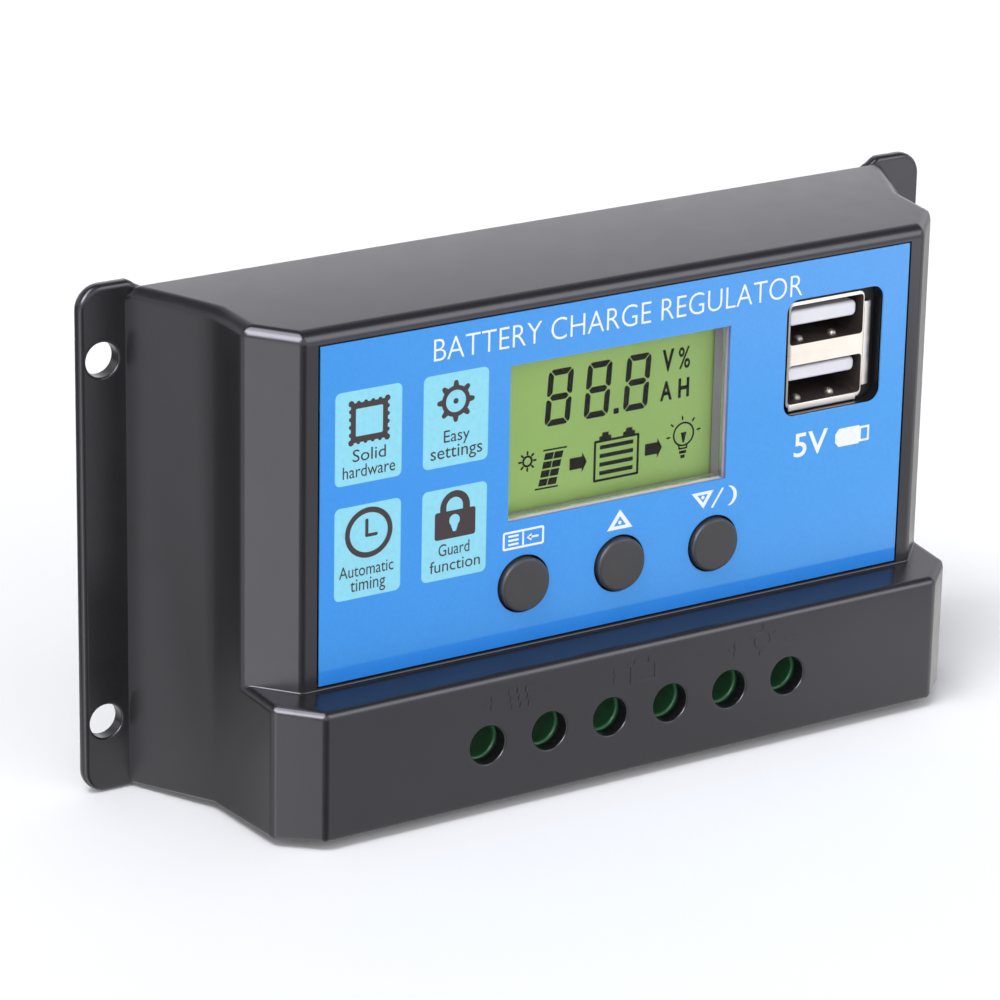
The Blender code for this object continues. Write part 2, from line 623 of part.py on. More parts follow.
# ---- assembly ----------------------------------------------------------------------------
usb_cutter = make_usb_opening()
build_housing(usb_cutter)
build_cover()
build_label(usb_cutter)
build_board()
build_lcd_frame()
build_display()
build_header()
for side, button_x in zip(("left", "middle", "right"), BUTTON_X):
    build_button(side, button_x)
build_usb_socket()
build_terminal()
build_components()
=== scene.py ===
"""A wall-mounted charge controller with its studio: floor, light and camera.

The back lies against the wall plane y = 0 and the front faces -y. Shapes are measured in millimetres:
x across, depth forward from the wall plane (depth = -y) and z up. Left and right are as seen from
the front, so left is -x.
"""

import json
import math

import bmesh
import bpy
from mathutils import Matrix, Vector

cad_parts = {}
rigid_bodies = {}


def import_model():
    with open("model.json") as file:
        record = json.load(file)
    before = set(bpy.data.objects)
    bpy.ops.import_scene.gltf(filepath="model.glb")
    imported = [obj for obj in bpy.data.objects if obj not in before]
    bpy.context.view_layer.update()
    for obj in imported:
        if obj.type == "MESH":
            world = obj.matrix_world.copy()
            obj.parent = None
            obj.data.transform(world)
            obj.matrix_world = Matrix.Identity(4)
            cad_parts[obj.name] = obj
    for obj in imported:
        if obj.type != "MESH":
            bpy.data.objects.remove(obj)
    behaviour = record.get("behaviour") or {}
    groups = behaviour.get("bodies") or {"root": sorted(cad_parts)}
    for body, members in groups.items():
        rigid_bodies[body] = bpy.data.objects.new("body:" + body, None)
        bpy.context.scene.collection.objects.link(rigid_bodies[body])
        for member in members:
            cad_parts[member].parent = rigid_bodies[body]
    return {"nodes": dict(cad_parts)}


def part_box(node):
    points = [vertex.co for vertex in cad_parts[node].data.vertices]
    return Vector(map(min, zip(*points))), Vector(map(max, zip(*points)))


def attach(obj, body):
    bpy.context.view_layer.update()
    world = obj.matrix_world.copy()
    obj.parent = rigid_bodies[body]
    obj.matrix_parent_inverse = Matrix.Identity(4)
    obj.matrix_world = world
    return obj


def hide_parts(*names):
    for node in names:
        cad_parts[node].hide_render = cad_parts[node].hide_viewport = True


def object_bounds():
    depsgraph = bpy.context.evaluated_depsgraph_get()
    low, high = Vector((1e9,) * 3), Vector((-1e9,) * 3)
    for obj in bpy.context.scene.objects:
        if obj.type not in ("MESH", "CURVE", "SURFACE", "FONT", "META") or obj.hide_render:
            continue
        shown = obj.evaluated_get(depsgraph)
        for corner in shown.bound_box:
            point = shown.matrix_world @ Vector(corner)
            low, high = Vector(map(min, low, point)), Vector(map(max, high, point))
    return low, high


MM = 0.001

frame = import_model()
cad_low, cad_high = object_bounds()

# =========================================================================================
# Driving dimensions
# =========================================================================================


def cad(node):
    """((x0, x1), (depth0, depth1), (z0, z1)) of a CAD node, in millimetres."""
    low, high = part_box(node)
    return ((low.x / MM, high.x / MM), (-high.y / MM, -low.y / MM), (low.z / MM, high.z / MM))


def middle(pair):
    return (pair[0] + pair[1]) / 2


def centre(box):
    """(x, z) of the middle of a box."""
    return middle(box[0]), middle(box[2])


def grown(pair, margin):
    return (pair[0] - margin, pair[1] + margin)


def around(value, half):
    return (value - half, value + half)


def numbered(stem, count):
    return [f"{stem}_{i}" for i in range(1, count + 1)]


WORDS = ("left", "middle", "right")
HOUSING = cad("front_housing")
LABEL_BOX = cad("front_label")
COVER_BOX = cad("back_cover")
GLASS_BOX = cad("lcd_glass")
CLEAR_BOX = cad("lcd_window")
FRAME_BOX = cad("lcd_frame")
SHELL_BOX = cad("usb_shell")
INSULATOR_BOX = cad("usb_insulator")
BLOCK_BOX = cad("terminal_block")
CAPS = {word: cad(f"button_cap_{word}") for word in WORDS}
SCREWS = [cad(node) for node in numbered("terminal_screw", 6)]
CASE_SCREWS = [cad(node) for node in numbered("case_screw", 4)]
CASE_POINTS = [centre(box) for box in CASE_SCREWS]
POST_POINTS = [centre(cad(node)) for node in numbered("pcb_screw", 4)]

EAR_X, EAR_Z = HOUSING[0][1], HOUSING[2][1]
EAR_THICKNESS, EAR_RADIUS = 2.0, 3.3
EAR_HOLES = [(x, z) for x in (-63.5, 63.5) for z in (-24.9, 24.9)]
EAR_HOLE_RADIUS = 2.35
WALL = 2.0
TERM_D = HOUSING[1][1]          # front of the lower part, over the terminals
LABEL_D = LABEL_BOX[1][1]       # front of the overlay
FRONT_D = LABEL_D - 0.05        # front of the housing behind the overlay
LEDGE_Z, LEDGE_SLOPE = -15.3, 0.08
WINDOW_X, WINDOW_Z = grown(CLEAR_BOX[0], 0.3), (CLEAR_BOX[2][0] - 0.3, CLEAR_BOX[2][1] + 0.3)
BUTTON_Z = middle(CAPS["middle"][2])
BUTTON_POINTS = [(middle(CAPS[word][0]), BUTTON_Z) for word in WORDS]
BUTTON_HOLE_RADIUS, BUTTON_RADIUS = 4.0, 3.7
TERM_Z = middle(SCREWS[0][2])
TERM_POINTS = [(middle(box[0]), TERM_Z) for box in SCREWS]
DRIVER_HOLE_RADIUS = 2.66

# =========================================================================================
# Outlines: lists of (x, z) points
# =========================================================================================


def arc(x, z, radius, start, end, steps, radius_z=None):
    radius_z = radius if radius_z is None else radius_z
    angles = [math.radians(start + (end - start) * k / steps) for k in range(steps + 1)]
    return [(x + radius * math.cos(a), z + radius_z * math.sin(a)) for a in angles]


def circle(x, z, radius, count, radius_z=None):
    return arc(x, z, radius, 0, 360 * (count - 1) / count, count - 1, radius_z)


def rounded_rectangle(x0, x1, z0, z1, radius, steps=6):
    return (
        arc(x1 - radius, z1 - radius, radius, 0, 90, steps)
        + arc(x0 + radius, z1 - radius, radius, 90, 180, steps)
        + arc(x0 + radius, z0 + radius, radius, 180, 270, steps)
        + arc(x1 - radius, z0 + radius, radius, 270, 360, steps)
    )


def fillet_profile(start, end, radius, flare):
    """(depth, radius) of a hole cutter whose mouth at depth end flares outwards by a quarter round."""
    profile = [(start, radius), (end - flare, radius)]
    steps = 5
    for k in range(1, steps + 1):
        angle = math.radians(90 * k / steps)
        profile.append((end - flare + flare * math.sin(angle), radius + flare * (1 - math.cos(angle))))
    profile.append((end + 6.0, radius + flare))
    return profile


SOCKET_OUTLINE = rounded_rectangle(26.0, 42.0, 9.4, 25.8, 1.8, 8)

# =========================================================================================
# Mesh helpers
# =========================================================================================
visual = bpy.data.collections.new("visual")
helpers = bpy.data.collections.new("helpers")
bpy.context.scene.collection.children.link(visual)
bpy.context.scene.collection.children.link(helpers)


def point(x, depth, z):
    return Vector((x * MM, -depth * MM, z * MM))


# Where outline values (a, b) at c along the prism lie, by the prism's axis
PLACES = {
    "depth": lambda a, b, c: point(a, c, b),
    "z": lambda a, b, c: point(a, b, c),
    "x": lambda a, b, c: point(c, a, b),
}


class Draft:
    """A mesh made of closed solids. Unless told otherwise they run from depth low to depth high.

    drop pulls the front of a solid back, so that overlapping fronts don't coincide.
    """

    def __init__(self, low=0.0, high=0.0):
        self.mesh = bmesh.new()
        self.low, self.high = low, high

    def prism(self, outline, span=None, along="depth", drop=0.0):
        """Takes (x, z) points along "depth", (x, depth) along "z" and (depth, z) along "x"."""
        low, high = span or (self.low, self.high - drop)
        place, verts, faces = PLACES[along], self.mesh.verts, self.mesh.faces
        bottom = [verts.new(place(a, b, low)) for a, b in outline]
        top = [verts.new(place(a, b, high)) for a, b in outline]
        faces.new(bottom)
        faces.new(list(reversed(top)))
        for i in range(len(outline)):
            j = (i + 1) % len(outline)
            faces.new((bottom[j], bottom[i], top[i], top[j]))

    def ring(self, outer, inner, drop=0.0):
        """A ring between two outlines with as many points each."""
        low, high = self.low, self.high - drop
        loops = []
        for outline, depth in ((outer, low), (outer, high), (inner, high), (inner, low)):
            loops.append([self.mesh.verts.new(point(x, depth, z)) for x, z in outline])
        for k in range(4):
            here, following = loops[k], loops[(k + 1) % 4]
            for i in range(len(outer)):
                j = (i + 1) % len(outer)
                self.mesh.faces.new((here[i], here[j], following[j], following[i]))

    def stroke(self, start, end, width, round_ends=True, drop=0.0):
        """A straight stroke with round or square ends."""
        dx, dz = end[0] - start[0], end[1] - start[1]
        half = width / 2
        if round_ends:
            angle = math.degrees(math.atan2(dz, dx))
            outline = (arc(*end, half, angle - 90, angle + 90, 6)
                       + arc(*start, half, angle + 90, angle + 270, 6))
        else:
            length = math.hypot(dx, dz)
            nx, nz = -dz / length * half, dx / length * half
            outline = [(start[0] - nx, start[1] - nz), (end[0] - nx, end[1] - nz),
                       (end[0] + nx, end[1] + nz), (start[0] + nx, start[1] + nz)]
        self.prism(outline, drop=drop)

    def rays(self, x, z, angles, inner, outer, width):
        """Strokes pointing away from (x, z); inner and outer are (x, z) radii."""
        for degrees in angles:
            angle = math.radians(degrees)
            ends = [(x + reach[0] * math.cos(angle), z + reach[1] * math.sin(angle))
                    for reach in (inner, outer)]
            self.stroke(*ends, width)

    def rectangle(self, x0, x1, z0, z1, radius=0.0, drop=0.0):
        outline = [(x0, z0), (x1, z0), (x1, z1), (x0, z1)]
        if radius:
            outline = rounded_rectangle(x0, x1, z0, z1, radius, 4)
        self.prism(outline, drop=drop)

    def frame(self, x0, x1, z0, z1, width, radius, drop=0.0):
        inner = (x0 + width, x1 - width, z0 + width, z1 - width, max(radius - width, 0.04))
        self.ring(rounded_rectangle(x0, x1, z0, z1, radius, 4), rounded_rectangle(*inner, 4), drop)

    def text(self, words, x0, x1, baseline, cap, weight=0.0):
        """Letters of the built-in face from x0 to x1, cap high above the baseline."""
        curve = bpy.data.curves.new("letters", "FONT")
        curve.body = words
        curve.size = 1.0
        curve.resolution_u = 4
        curve.offset = weight
        curve.extrude = 0.01
        letters = bpy.data.objects.new("letters", curve)
        bpy.context.scene.collection.objects.link(letters)
        graph = bpy.context.evaluated_depsgraph_get()
        data = bpy.data.meshes.new_from_object(letters.evaluated_get(graph))
        bpy.data.objects.remove(letters, do_unlink=True)
        bpy.data.curves.remove(curve)
        xs, ys, zs = ([v.co[axis] for v in data.vertices] for axis in range(3))
        left, top, back, thickness = min(xs), max(ys), min(zs), max(zs) - min(zs)
        scale_x, scale_z = (x1 - x0) / (max(xs) - left), cap / top
        for vertex in data.vertices:
            x = x0 + (vertex.co.x - left) * scale_x
            z = baseline + vertex.co.y * scale_z
            depth = self.low + (self.high - self.low) * (vertex.co.z - back) / thickness
            vertex.co = point(x, depth, z)
        merged = bmesh.new()
        merged.from_mesh(data)
        bmesh.ops.remove_doubles(merged, verts=merged.verts, dist=2e-7)
        merged.to_mesh(data)
        merged.free()
        self.mesh.from_mesh(data)
        bpy.data.meshes.remove(data)

    def make(self, name, mat=None):
        """The object. Without a material it is a helper that isn't rendered."""
        bmesh.ops.recalc_face_normals(self.mesh, faces=self.mesh.faces)
        data = bpy.data.meshes.new(name)
        self.mesh.to_mesh(data)
        self.mesh.free()
        obj = bpy.data.objects.new(name, data)
        if mat is None:
            helpers.objects.link(obj)
            obj.hide_render = True
        else:
            visual.objects.link(obj)
            data.materials.append(mat)
        return obj


def prism(name, outline, span, along="depth", mat=None):
    draft = Draft()
    draft.prism(outline, span, along)
    return draft.make(name, mat)


def block(name, x, depth, z, mat=None):
    draft = Draft()
    verts = bmesh.ops.create_cube(draft.mesh, size=1.0)["verts"]
    size = ((x[1] - x[0]) * MM, (depth[1] - depth[0]) * MM, (z[1] - z[0]) * MM)
    bmesh.ops.scale(draft.mesh, vec=size, verts=verts)
    bmesh.ops.translate(draft.mesh, vec=point(middle(x), middle(depth), middle(z)), verts=verts)
    return draft.make(name, mat)


def lathe(name, x, z, profile, mat=None, segments=48):
    """A solid turned about the depth direction; profile is (depth, radius) from back to front."""
    draft = Draft()
    rings = []
    for depth, radius in profile:
        angles = [2 * math.pi * k / segments for k in range(segments)]
        rings.append([draft.mesh.verts.new(point(x + radius * math.cos(a), depth, z + radius * math.sin(a)))
                      for a in angles])
    for near, far in zip(rings, rings[1:]):
        for i in range(segments):
            j = (i + 1) % segments
            draft.mesh.faces.new((near[i], near[j], far[j], far[i]))
    draft.mesh.faces.new(rings[0])
    draft.mesh.faces.new(list(reversed(rings[-1])))
    return draft.make(name, mat)


def smooth(obj, angle, weighted=True):
    obj.data.shade_smooth()
    obj.data.set_sharp_from_angle(angle=math.radians(angle))
    if weighted:
        normals = obj.modifiers.new("weighted_normals", "WEIGHTED_NORMAL")
        normals.keep_sharp = True
        normals.weight = 80


def rounding(obj, width, segments, angle):
    bevel = obj.modifiers.new("rounded_edges", "BEVEL")
    bevel.width = width * MM
    bevel.segments = segments
    bevel.limit_method = "ANGLE"
    bevel.angle_limit = math.radians(angle)


def boolean(obj, other, operation="DIFFERENCE"):
    modifier = obj.modifiers.new("shape", "BOOLEAN")
    modifier.operation = operation
    modifier.object = other
    modifier.solver = "EXACT"


def turned(obj, name, points, profile, segments, operation="DIFFERENCE"):
    """Cuts or adds the same turned shape at every point."""
    for x, z in points:
        boolean(obj, lathe(name, x, z, profile, segments=segments), operation)


def freeze(obj, mat=None):
    """Bakes the modifiers into the mesh."""
    graph = bpy.context.evaluated_depsgraph_get()
    data = bpy.data.meshes.new_from_object(obj.evaluated_get(graph))
    obj.modifiers.clear()
    obj.data = data
    data.name = obj.name
    if mat is not None:
        data.materials.clear()
        data.materials.append(mat)
        for polygon in data.polygons:
            polygon.material_index = 0


def clear_helpers():
    for obj in list(helpers.objects):
        bpy.data.objects.remove(obj, do_unlink=True)


def register(obj, replaces=None, ride="housing"):
    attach(obj, ride)
    if replaces:
        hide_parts(replaces)


# =========================================================================================
# Materials
# =========================================================================================


def linear(*display):
    """Linear colour from 0-255 display values above 10."""
    return tuple(((value / 255 + 0.055) / 1.055) ** 2.4 for value in display)


class Tree:
    """A small builder for shader nodes. Positions in them are in metres."""

    def __init__(self, tree):
        self.nodes = tree.nodes
        self.links = tree.links
        self.shader = tree.nodes.get("Principled BSDF")

    def add(self, kind, **values):
        node = self.nodes.new(kind)
        for key, value in values.items():
            setattr(node, key, value)
        return node

    def link(self, source, target):
        self.links.new(source, target)

    def feed(self, socket, value):
        """Links a socket, or sets the input's value."""
        if isinstance(value, bpy.types.NodeSocket):
            self.links.new(value, socket)
        elif isinstance(value, (tuple, list)) and len(value) == 3 and socket.type == "RGBA":
            socket.default_value = (*value, 1.0)
        else:
            socket.default_value = value

    def coords(self):
        return self.add("ShaderNodeTexCoord").outputs["Object"]

    def noise(self, scale, detail=3.0, vector=None):
        node = self.add("ShaderNodeTexNoise")
        self.link(vector or self.coords(), node.inputs["Vector"])
        node.inputs["Scale"].default_value = scale
        node.inputs["Detail"].default_value = detail
        return node.outputs["Fac"]

    def bands(self, scale, distortion=0.0):
        """Waves along x."""
        node = self.add("ShaderNodeTexWave", wave_type="BANDS", bands_direction="X")
        self.link(self.coords(), node.inputs["Vector"])
        node.inputs["Scale"].default_value = scale
        node.inputs["Distortion"].default_value = distortion
        return node.outputs["Fac"]

    def stretch(self, vector, scale):
        node = self.add("ShaderNodeMapping")
        self.link(vector, node.inputs["Vector"])
        node.inputs["Scale"].default_value = scale
        return node.outputs["Vector"]

    def axis(self, name):
        node = self.add("ShaderNodeSeparateXYZ")
        self.link(self.coords(), node.inputs[0])
        return node.outputs[name]

    def spread(self, value, low, high, to_low=0.0, to_high=1.0, kind="LINEAR"):
        node = self.add("ShaderNodeMapRange", interpolation_type=kind)
        self.feed(node.inputs["Value"], value)
        node.inputs["From Min"].default_value = low
        node.inputs["From Max"].default_value = high
        node.inputs["To Min"].default_value = to_low
        node.inputs["To Max"].default_value = to_high
        return node.outputs["Result"]

    def patches(self, low, high, scale, detail=3.0):
        """Noise that wanders between two values."""
        return self.spread(self.noise(scale, detail), 0.3, 0.7, low, high)

    def mix(self, factor, first, second):
        node = self.add("ShaderNodeMix", data_type="RGBA", blend_type="MIX")
        self.feed(node.inputs[0], factor)
        self.feed(node.inputs[6], first)
        self.feed(node.inputs[7], second)
        return node.outputs[2]

    def math(self, operation, first, second):
        node = self.add("ShaderNodeMath", operation=operation)
        self.feed(node.inputs[0], first)
        self.feed(node.inputs[1], second)
        return node.outputs[0]

    def scaled(self, colour, factor):
        node = self.add("ShaderNodeVectorMath", operation="SCALE")
        self.feed(node.inputs[0], colour)
        self.feed(node.inputs["Scale"], factor)
        return node.outputs[0]

    def lobe(self, direction, vector, inner, outer, strength):
        """A soft round patch about vector, given by two half angles in degrees."""
        dot = self.add("ShaderNodeVectorMath", operation="DOT_PRODUCT")
        self.link(direction, dot.inputs[0])
        dot.inputs[1].default_value = vector
        edge, core = math.cos(math.radians(outer)), math.cos(math.radians(inner))
        return self.spread(dot.outputs["Value"], edge, core, 0.0, strength, "SMOOTHSTEP")

    def bump(self, height, strength, distance_mm):
        node = self.add("ShaderNodeBump")
        node.inputs["Strength"].default_value = strength
        node.inputs["Distance"].default_value = distance_mm * MM
        self.link(height, node.inputs["Height"])
        return node.outputs["Normal"]

    def dress(self, colour, roughness, normal, specular=0.5):
        inputs = self.shader.inputs
        self.link(colour, inputs["Base Color"])
        self.link(roughness, inputs["Roughness"])
        self.link(normal, inputs["Normal"])
        inputs["Specular IOR Level"].default_value = specular


def surface(name):
    mat = bpy.data.materials.new(name)
    mat.use_nodes = True
    return mat, Tree(mat.node_tree)


def moulded(name, colour, roughness, variation=0.12, grain=2200.0, grain_depth=0.012, mottling=160.0,
            rough_spread=0.06, specular=0.5, tint=(1.0, 1.0, 1.0)):
    """Moulded plastic: fine spark texture, slow gloss mottling and a faint change of tone."""
    mat, tree = surface(name)
    tree.dress(
        colour=tree.scaled(colour, tree.patches(1.0 - variation, 1.0 + variation, mottling, detail=4.0)),
        roughness=tree.patches(roughness - rough_spread, roughness + rough_spread, mottling * 3.1),
        normal=tree.bump(tree.noise(grain, detail=2.0), strength=0.35, distance_mm=grain_depth),
        specular=specular)
    tree.shader.inputs["Specular Tint"].default_value = (*tint, 1.0)
    tree.shader.inputs["Coat Roughness"].default_value = 0.12
    return mat


def metal(name, colour, roughness, brushed, variation=0.1, tarnish=None, shade=None):
    """Plated or brushed metal: streaks along one direction, cloudy tarnish and small dents.

    shade is painted shade that darkens it towards one side: (start x, end x, share of the tone left at the
    start).
    """
    mat, tree = surface(name)
    tree.shader.inputs["Metallic"].default_value = 1.0
    streaks = tree.noise(900.0, 5.0, tree.stretch(tree.coords(), brushed))
    cloud = tree.noise(260.0, 4.0)
    base = tree.mix(tree.spread(cloud, 0.35, 0.7), colour, tarnish or tuple(c * 0.72 for c in colour))
    tone = tree.spread(streaks, 0.3, 0.7, 1.0 - variation, 1.0 + variation)
    if shade:
        start, end, share = shade
        tone = tree.math("MULTIPLY", tone, tree.spread(tree.axis("X"), start * MM, end * MM, share, 1.0))
    tree.dress(
        colour=tree.scaled(base, tone),
        roughness=tree.spread(streaks, 0.25, 0.75, roughness * 0.75, roughness * 1.3),
        normal=tree.bump(streaks, strength=0.25, distance_mm=0.01))
    return mat


def print_ink(name, colour, roughness=0.45, specular=0.4):
    """Screen-printed ink with the slight unevenness of the mesh it went through."""
    mat, tree = surface(name)
    tree.dress(
        colour=tree.scaled(colour, tree.patches(0.95, 1.03, scale=1400.0)),
        roughness=tree.patches(roughness - 0.05, roughness + 0.05, scale=500.0, detail=2.0),
        normal=tree.bump(tree.noise(5200.0, detail=1.0), strength=0.2, distance_mm=0.004),
        specular=specular)
    return mat


def board_material():
    """Green solder mask with slightly raised, lighter tracks."""
    mat, tree = surface("board_solder_mask")
    tracks = tree.spread(tree.bands(scale=420.0, distortion=5.0), 0.55, 0.62)
    tree.dress(
        colour=tree.mix(tracks, (0.012, 0.11, 0.045), (0.03, 0.19, 0.075)),
        roughness=tree.patches(0.28, 0.42, scale=700.0),
        normal=tree.bump(tracks, strength=0.4, distance_mm=0.03))
    return mat


# Overlay colours, (left, right), with painted light: lighter to the right, most of all at the top; and the
# band along its lower edge
LABEL_TOP = ((0.036, 0.290, 0.760), (0.096, 0.350, 0.800))
LABEL_MIDDLE = ((0.030, 0.278, 0.770), (0.062, 0.335, 0.790))
LABEL_LOW = ((0.034, 0.285, 0.770), (0.072, 0.335, 0.810))
LABEL_BAND = (0.012, 0.235, 0.770)


def label_material():
    """Blue overlay with painted light, lighter to the right; a deeper band along the lower edge; orange-peel
    gloss.
    """
    mat, tree = surface("blue_overlay")
    # painted light: the blue gets lighter from left to right
    across = tree.spread(tree.axis("X"), -0.046, 0.046)
    upper = tree.spread(tree.axis("Z"), 0.010, 0.024)
    low_row = tree.mix(across, *LABEL_LOW)
    high_row = tree.mix(across, *LABEL_TOP)
    middle_row = tree.mix(across, *LABEL_MIDDLE)
    lower = tree.mix(tree.spread(tree.axis("Z"), -0.0125, 0.004), low_row, middle_row)
    base = tree.mix(upper, lower, high_row)
    band = tree.spread(tree.axis("Z"), -0.01285, -0.0126, 1.0, 0.0)
    base = tree.mix(band, base, LABEL_BAND)
    tree.dress(
        colour=tree.scaled(base, tree.patches(0.97, 1.03, scale=2600.0, detail=2.0)),
        roughness=tree.patches(0.36, 0.46, scale=300.0),
        normal=tree.bump(tree.noise(1100.0, detail=2.0), strength=0.12, distance_mm=0.01),
        specular=0.45)
    return mat


def glass_material():
    """Reflective display glass: green with painted shade that darkens it towards the right, and the faint
    grain of the polariser.
    """
    mat, tree = surface("display_green")
    # painted shade from the window's wall: darker towards the right
    across = tree.spread(tree.axis("X"), -0.018, 0.017)
    base = tree.mix(across, (0.375, 0.580, 0.155), (0.360, 0.540, 0.160))
    tree.dress(
        colour=tree.scaled(base, tree.patches(0.97, 1.03, scale=3200.0, detail=2.0)),
        roughness=tree.patches(0.30, 0.40, scale=240.0),
        normal=tree.bump(tree.noise(4200.0, detail=1.0), strength=0.08, distance_mm=0.004),
        specular=0.3)
    return mat


def clear_material():
    """Clear acrylic as a thin pane: see-through, with a weak rippled reflection."""
    mat, tree = surface("clear_acrylic")
    tree.nodes.remove(tree.shader)
    through = tree.add("ShaderNodeBsdfTransparent")
    tone = tree.mix(tree.spread(tree.noise(90.0), 0.4, 0.6), (0.985, 0.99, 0.985), (0.97, 0.98, 0.97))
    tree.link(tone, through.inputs["Color"])
    shine = tree.add("ShaderNodeBsdfGlossy")
    shine.inputs["Roughness"].default_value = 0.08
    ripple = tree.bump(tree.noise(120.0, detail=2.0), strength=0.1, distance_mm=0.02)
    tree.link(ripple, shine.inputs["Normal"])
    edge = tree.add("ShaderNodeFresnel")
    edge.inputs["IOR"].default_value = 1.2
    both = tree.add("ShaderNodeMixShader")
    for socket, source in zip(both.inputs, (edge, through, shine)):
        tree.link(source.outputs[0], socket)
    tree.link(both.outputs[0], tree.nodes["Material Output"].inputs["Surface"])
    return mat


def zebra_material():
    """Elastomer striped along x."""
    mat, tree = surface("zebra_elastomer")
    stripes = tree.spread(tree.bands(scale=1600.0), 0.4, 0.6)
    tree.dress(
        colour=tree.mix(stripes, (0.45, 0.4, 0.42), (0.03, 0.03, 0.03)),
        roughness=tree.patches(0.6, 0.8, scale=500.0),
        normal=tree.bump(tree.noise(1500.0), strength=0.3, distance_mm=0.02))
    return mat


BLACK = moulded("black_abs_satin", (0.0115, 0.0110, 0.0128), roughness=0.25, variation=0.08,
                rough_spread=0.018, mottling=90.0, specular=0.54, tint=(0.93, 0.915, 1.0))
COVER_BLACK = moulded("black_abs_cover", (0.021, 0.0205, 0.023), roughness=0.36, variation=0.10,
                      rough_spread=0.03)
CAP_GREY = moulded("button_charcoal", (0.031, 0.031, 0.035), roughness=0.44, variation=0.06, grain=3200.0)
TERMINAL_GREEN = moulded("terminal_green_pa", (0.022, 0.115, 0.042), roughness=0.42, variation=0.15,
                         grain=1800.0)
FRAME_GREY = moulded("display_frame_grey", (0.46, 0.395, 0.53), roughness=0.55, variation=0.04,
                     specular=0.15)
SEAT_GREY = moulded("pane_seat_grey", (0.50, 0.475, 0.47), roughness=0.4, variation=0.04)
SWITCH_BLACK = moulded("switch_black_nylon", (0.03, 0.03, 0.03), roughness=0.5, variation=0.2)
WHITE_PLASTIC = moulded("socket_white_pbt", (0.86, 0.85, 0.90), roughness=0.34, variation=0.03,
                        grain=3000.0, grain_depth=0.004)
EPOXY = moulded("chip_epoxy_black", (0.022, 0.022, 0.024), roughness=0.55, variation=0.25,
                grain=2600.0, grain_depth=0.02)
SLEEVE = moulded("capacitor_sleeve_blue_black", (0.02, 0.03, 0.07), roughness=0.32, variation=0.15)
FERRITE = moulded("ferrite_grey", (0.07, 0.07, 0.075), roughness=0.75, variation=0.25,
                  grain=1500.0, grain_depth=0.04)
DIFFUSER = moulded("light_guide_white", (0.80, 0.83, 0.76), roughness=0.4, variation=0.03)
# a dark brown that stands in for the shade inside the socket's ports
PAINTED_SHADE_DARK = moulded("socket_painted_shade", (0.034, 0.025, 0.021), roughness=0.6, variation=0.3)
# the shell's nickel gets painted shade towards its left rim, where the rolled edge turns from the light
NICKEL = metal("nickel_shell_plate", (0.76, 0.71, 0.655), roughness=0.34, brushed=(0.15, 1.0, 1.0),
               variation=0.05, tarnish=(0.71, 0.65, 0.585),
               shade=(SHELL_BOX[0][0] + 0.3, SHELL_BOX[0][0] + 0.75, 0.42))
SPRING_NICKEL = metal("spring_nickel", (0.36, 0.33, 0.29), roughness=0.5, brushed=(1.0, 0.2, 1.0))
ZINC = metal("zinc_plate", (0.62, 0.62, 0.60), roughness=0.36, brushed=(1.0, 1.0, 1.0), variation=0.14)
STEEL = metal("screw_steel_plain", (0.56, 0.56, 0.56), roughness=0.30, brushed=(1.0, 1.0, 0.4),
              variation=0.12)
BRASS = metal("tinned_brass_bar", (0.66, 0.60, 0.46), roughness=0.34, brushed=(1.0, 0.2, 1.0))
GOLD = metal("gold_flash", (0.83, 0.62, 0.27), roughness=0.28, brushed=(1.0, 0.2, 1.0), variation=0.08)
WHITE_INK = print_ink("white_ink", (0.86, 0.90, 0.97))
DARK_INK = print_ink("dark_ink", (0.040, 0.026, 0.030))
TILE_INK = print_ink("pale_cyan_ink", linear(143, 217, 235))
SEGMENT_BLACK = print_ink("display_segments", (0.0035, 0.004, 0.0025), roughness=0.5, specular=0.05)
BLUE = label_material()
DISPLAY_GREEN = glass_material()
CLEAR = clear_material()
ZEBRA = zebra_material()
BOARD = board_material()

# =========================================================================================
# Housing
# =========================================================================================
SIDE_LEAN = -6.75 / 14.25
BACK_D = -3.0   # the body is drawn past the wall plane and cut there
# Right half of the plan, (x, depth) from back to front
PLAN_HALF = [(54.4 - SIDE_LEAN * (14.25 - BACK_D), BACK_D), (54.4, 14.25), (53.75, 28.4), (48.5, TERM_D)]
FRONT_CORNER_X = 48.46                 # where the front meets the chamfers at its sides
CHAMFER_X, CHAMFER_D = 5.28, 5.5


def crown(depth):
    """Height of the gently curved top at a depth."""
    return 34.2 - 1.27 * (max(depth - 2.0, 0.0) / 25.0) ** 1.7


# Side view, (depth, z): the underside from back to front, then the top from front to back
BELOW = [(BACK_D, -34.5), (2.0, -34.35), (14.25, -33.95), (28.4, -33.84), (TERM_D, -33.6)]
ABOVE = [(TERM_D, crown(24.0) - (TERM_D - 24.0) * 0.075)]
ABOVE += [(d, crown(d)) for d in (24.0, 21.143, 17.7, 14.25, 11.0, 7.5, 4.5, 2.4)]
# the top falls away over its last bit to the back, outside only
BACK_OUTSIDE, BACK_INSIDE = (BACK_D, 31.0), (BACK_D, 34.2)


def mirror_outline(half):
    return half + [(-a, b) for a, b in reversed(half)]


def offset_half(half, distance):
    """The half outline moved inwards: every edge is shifted, then neighbours are intersected."""
    lines = []
    for (x0, y0), (x1, y1) in zip(half, half[1:] + [(0.0, half[-1][1])]):
        length = math.hypot(x1 - x0, y1 - y0)
        nx, ny = -(y1 - y0) / length, (x1 - x0) / length
        lines.append((x0 + nx * distance, y0 + ny * distance, x1 - x0, y1 - y0))
    result = [lines[0][:2]]
    for (ax, ay, adx, ady), (bx, by, bdx, bdy) in zip(lines, lines[1:]):
        along = ((bx - ax) * bdy - (by - ay) * bdx) / (adx * bdy - ady * bdx)
        result.append((ax + adx * along, ay + ady * along))
    return result


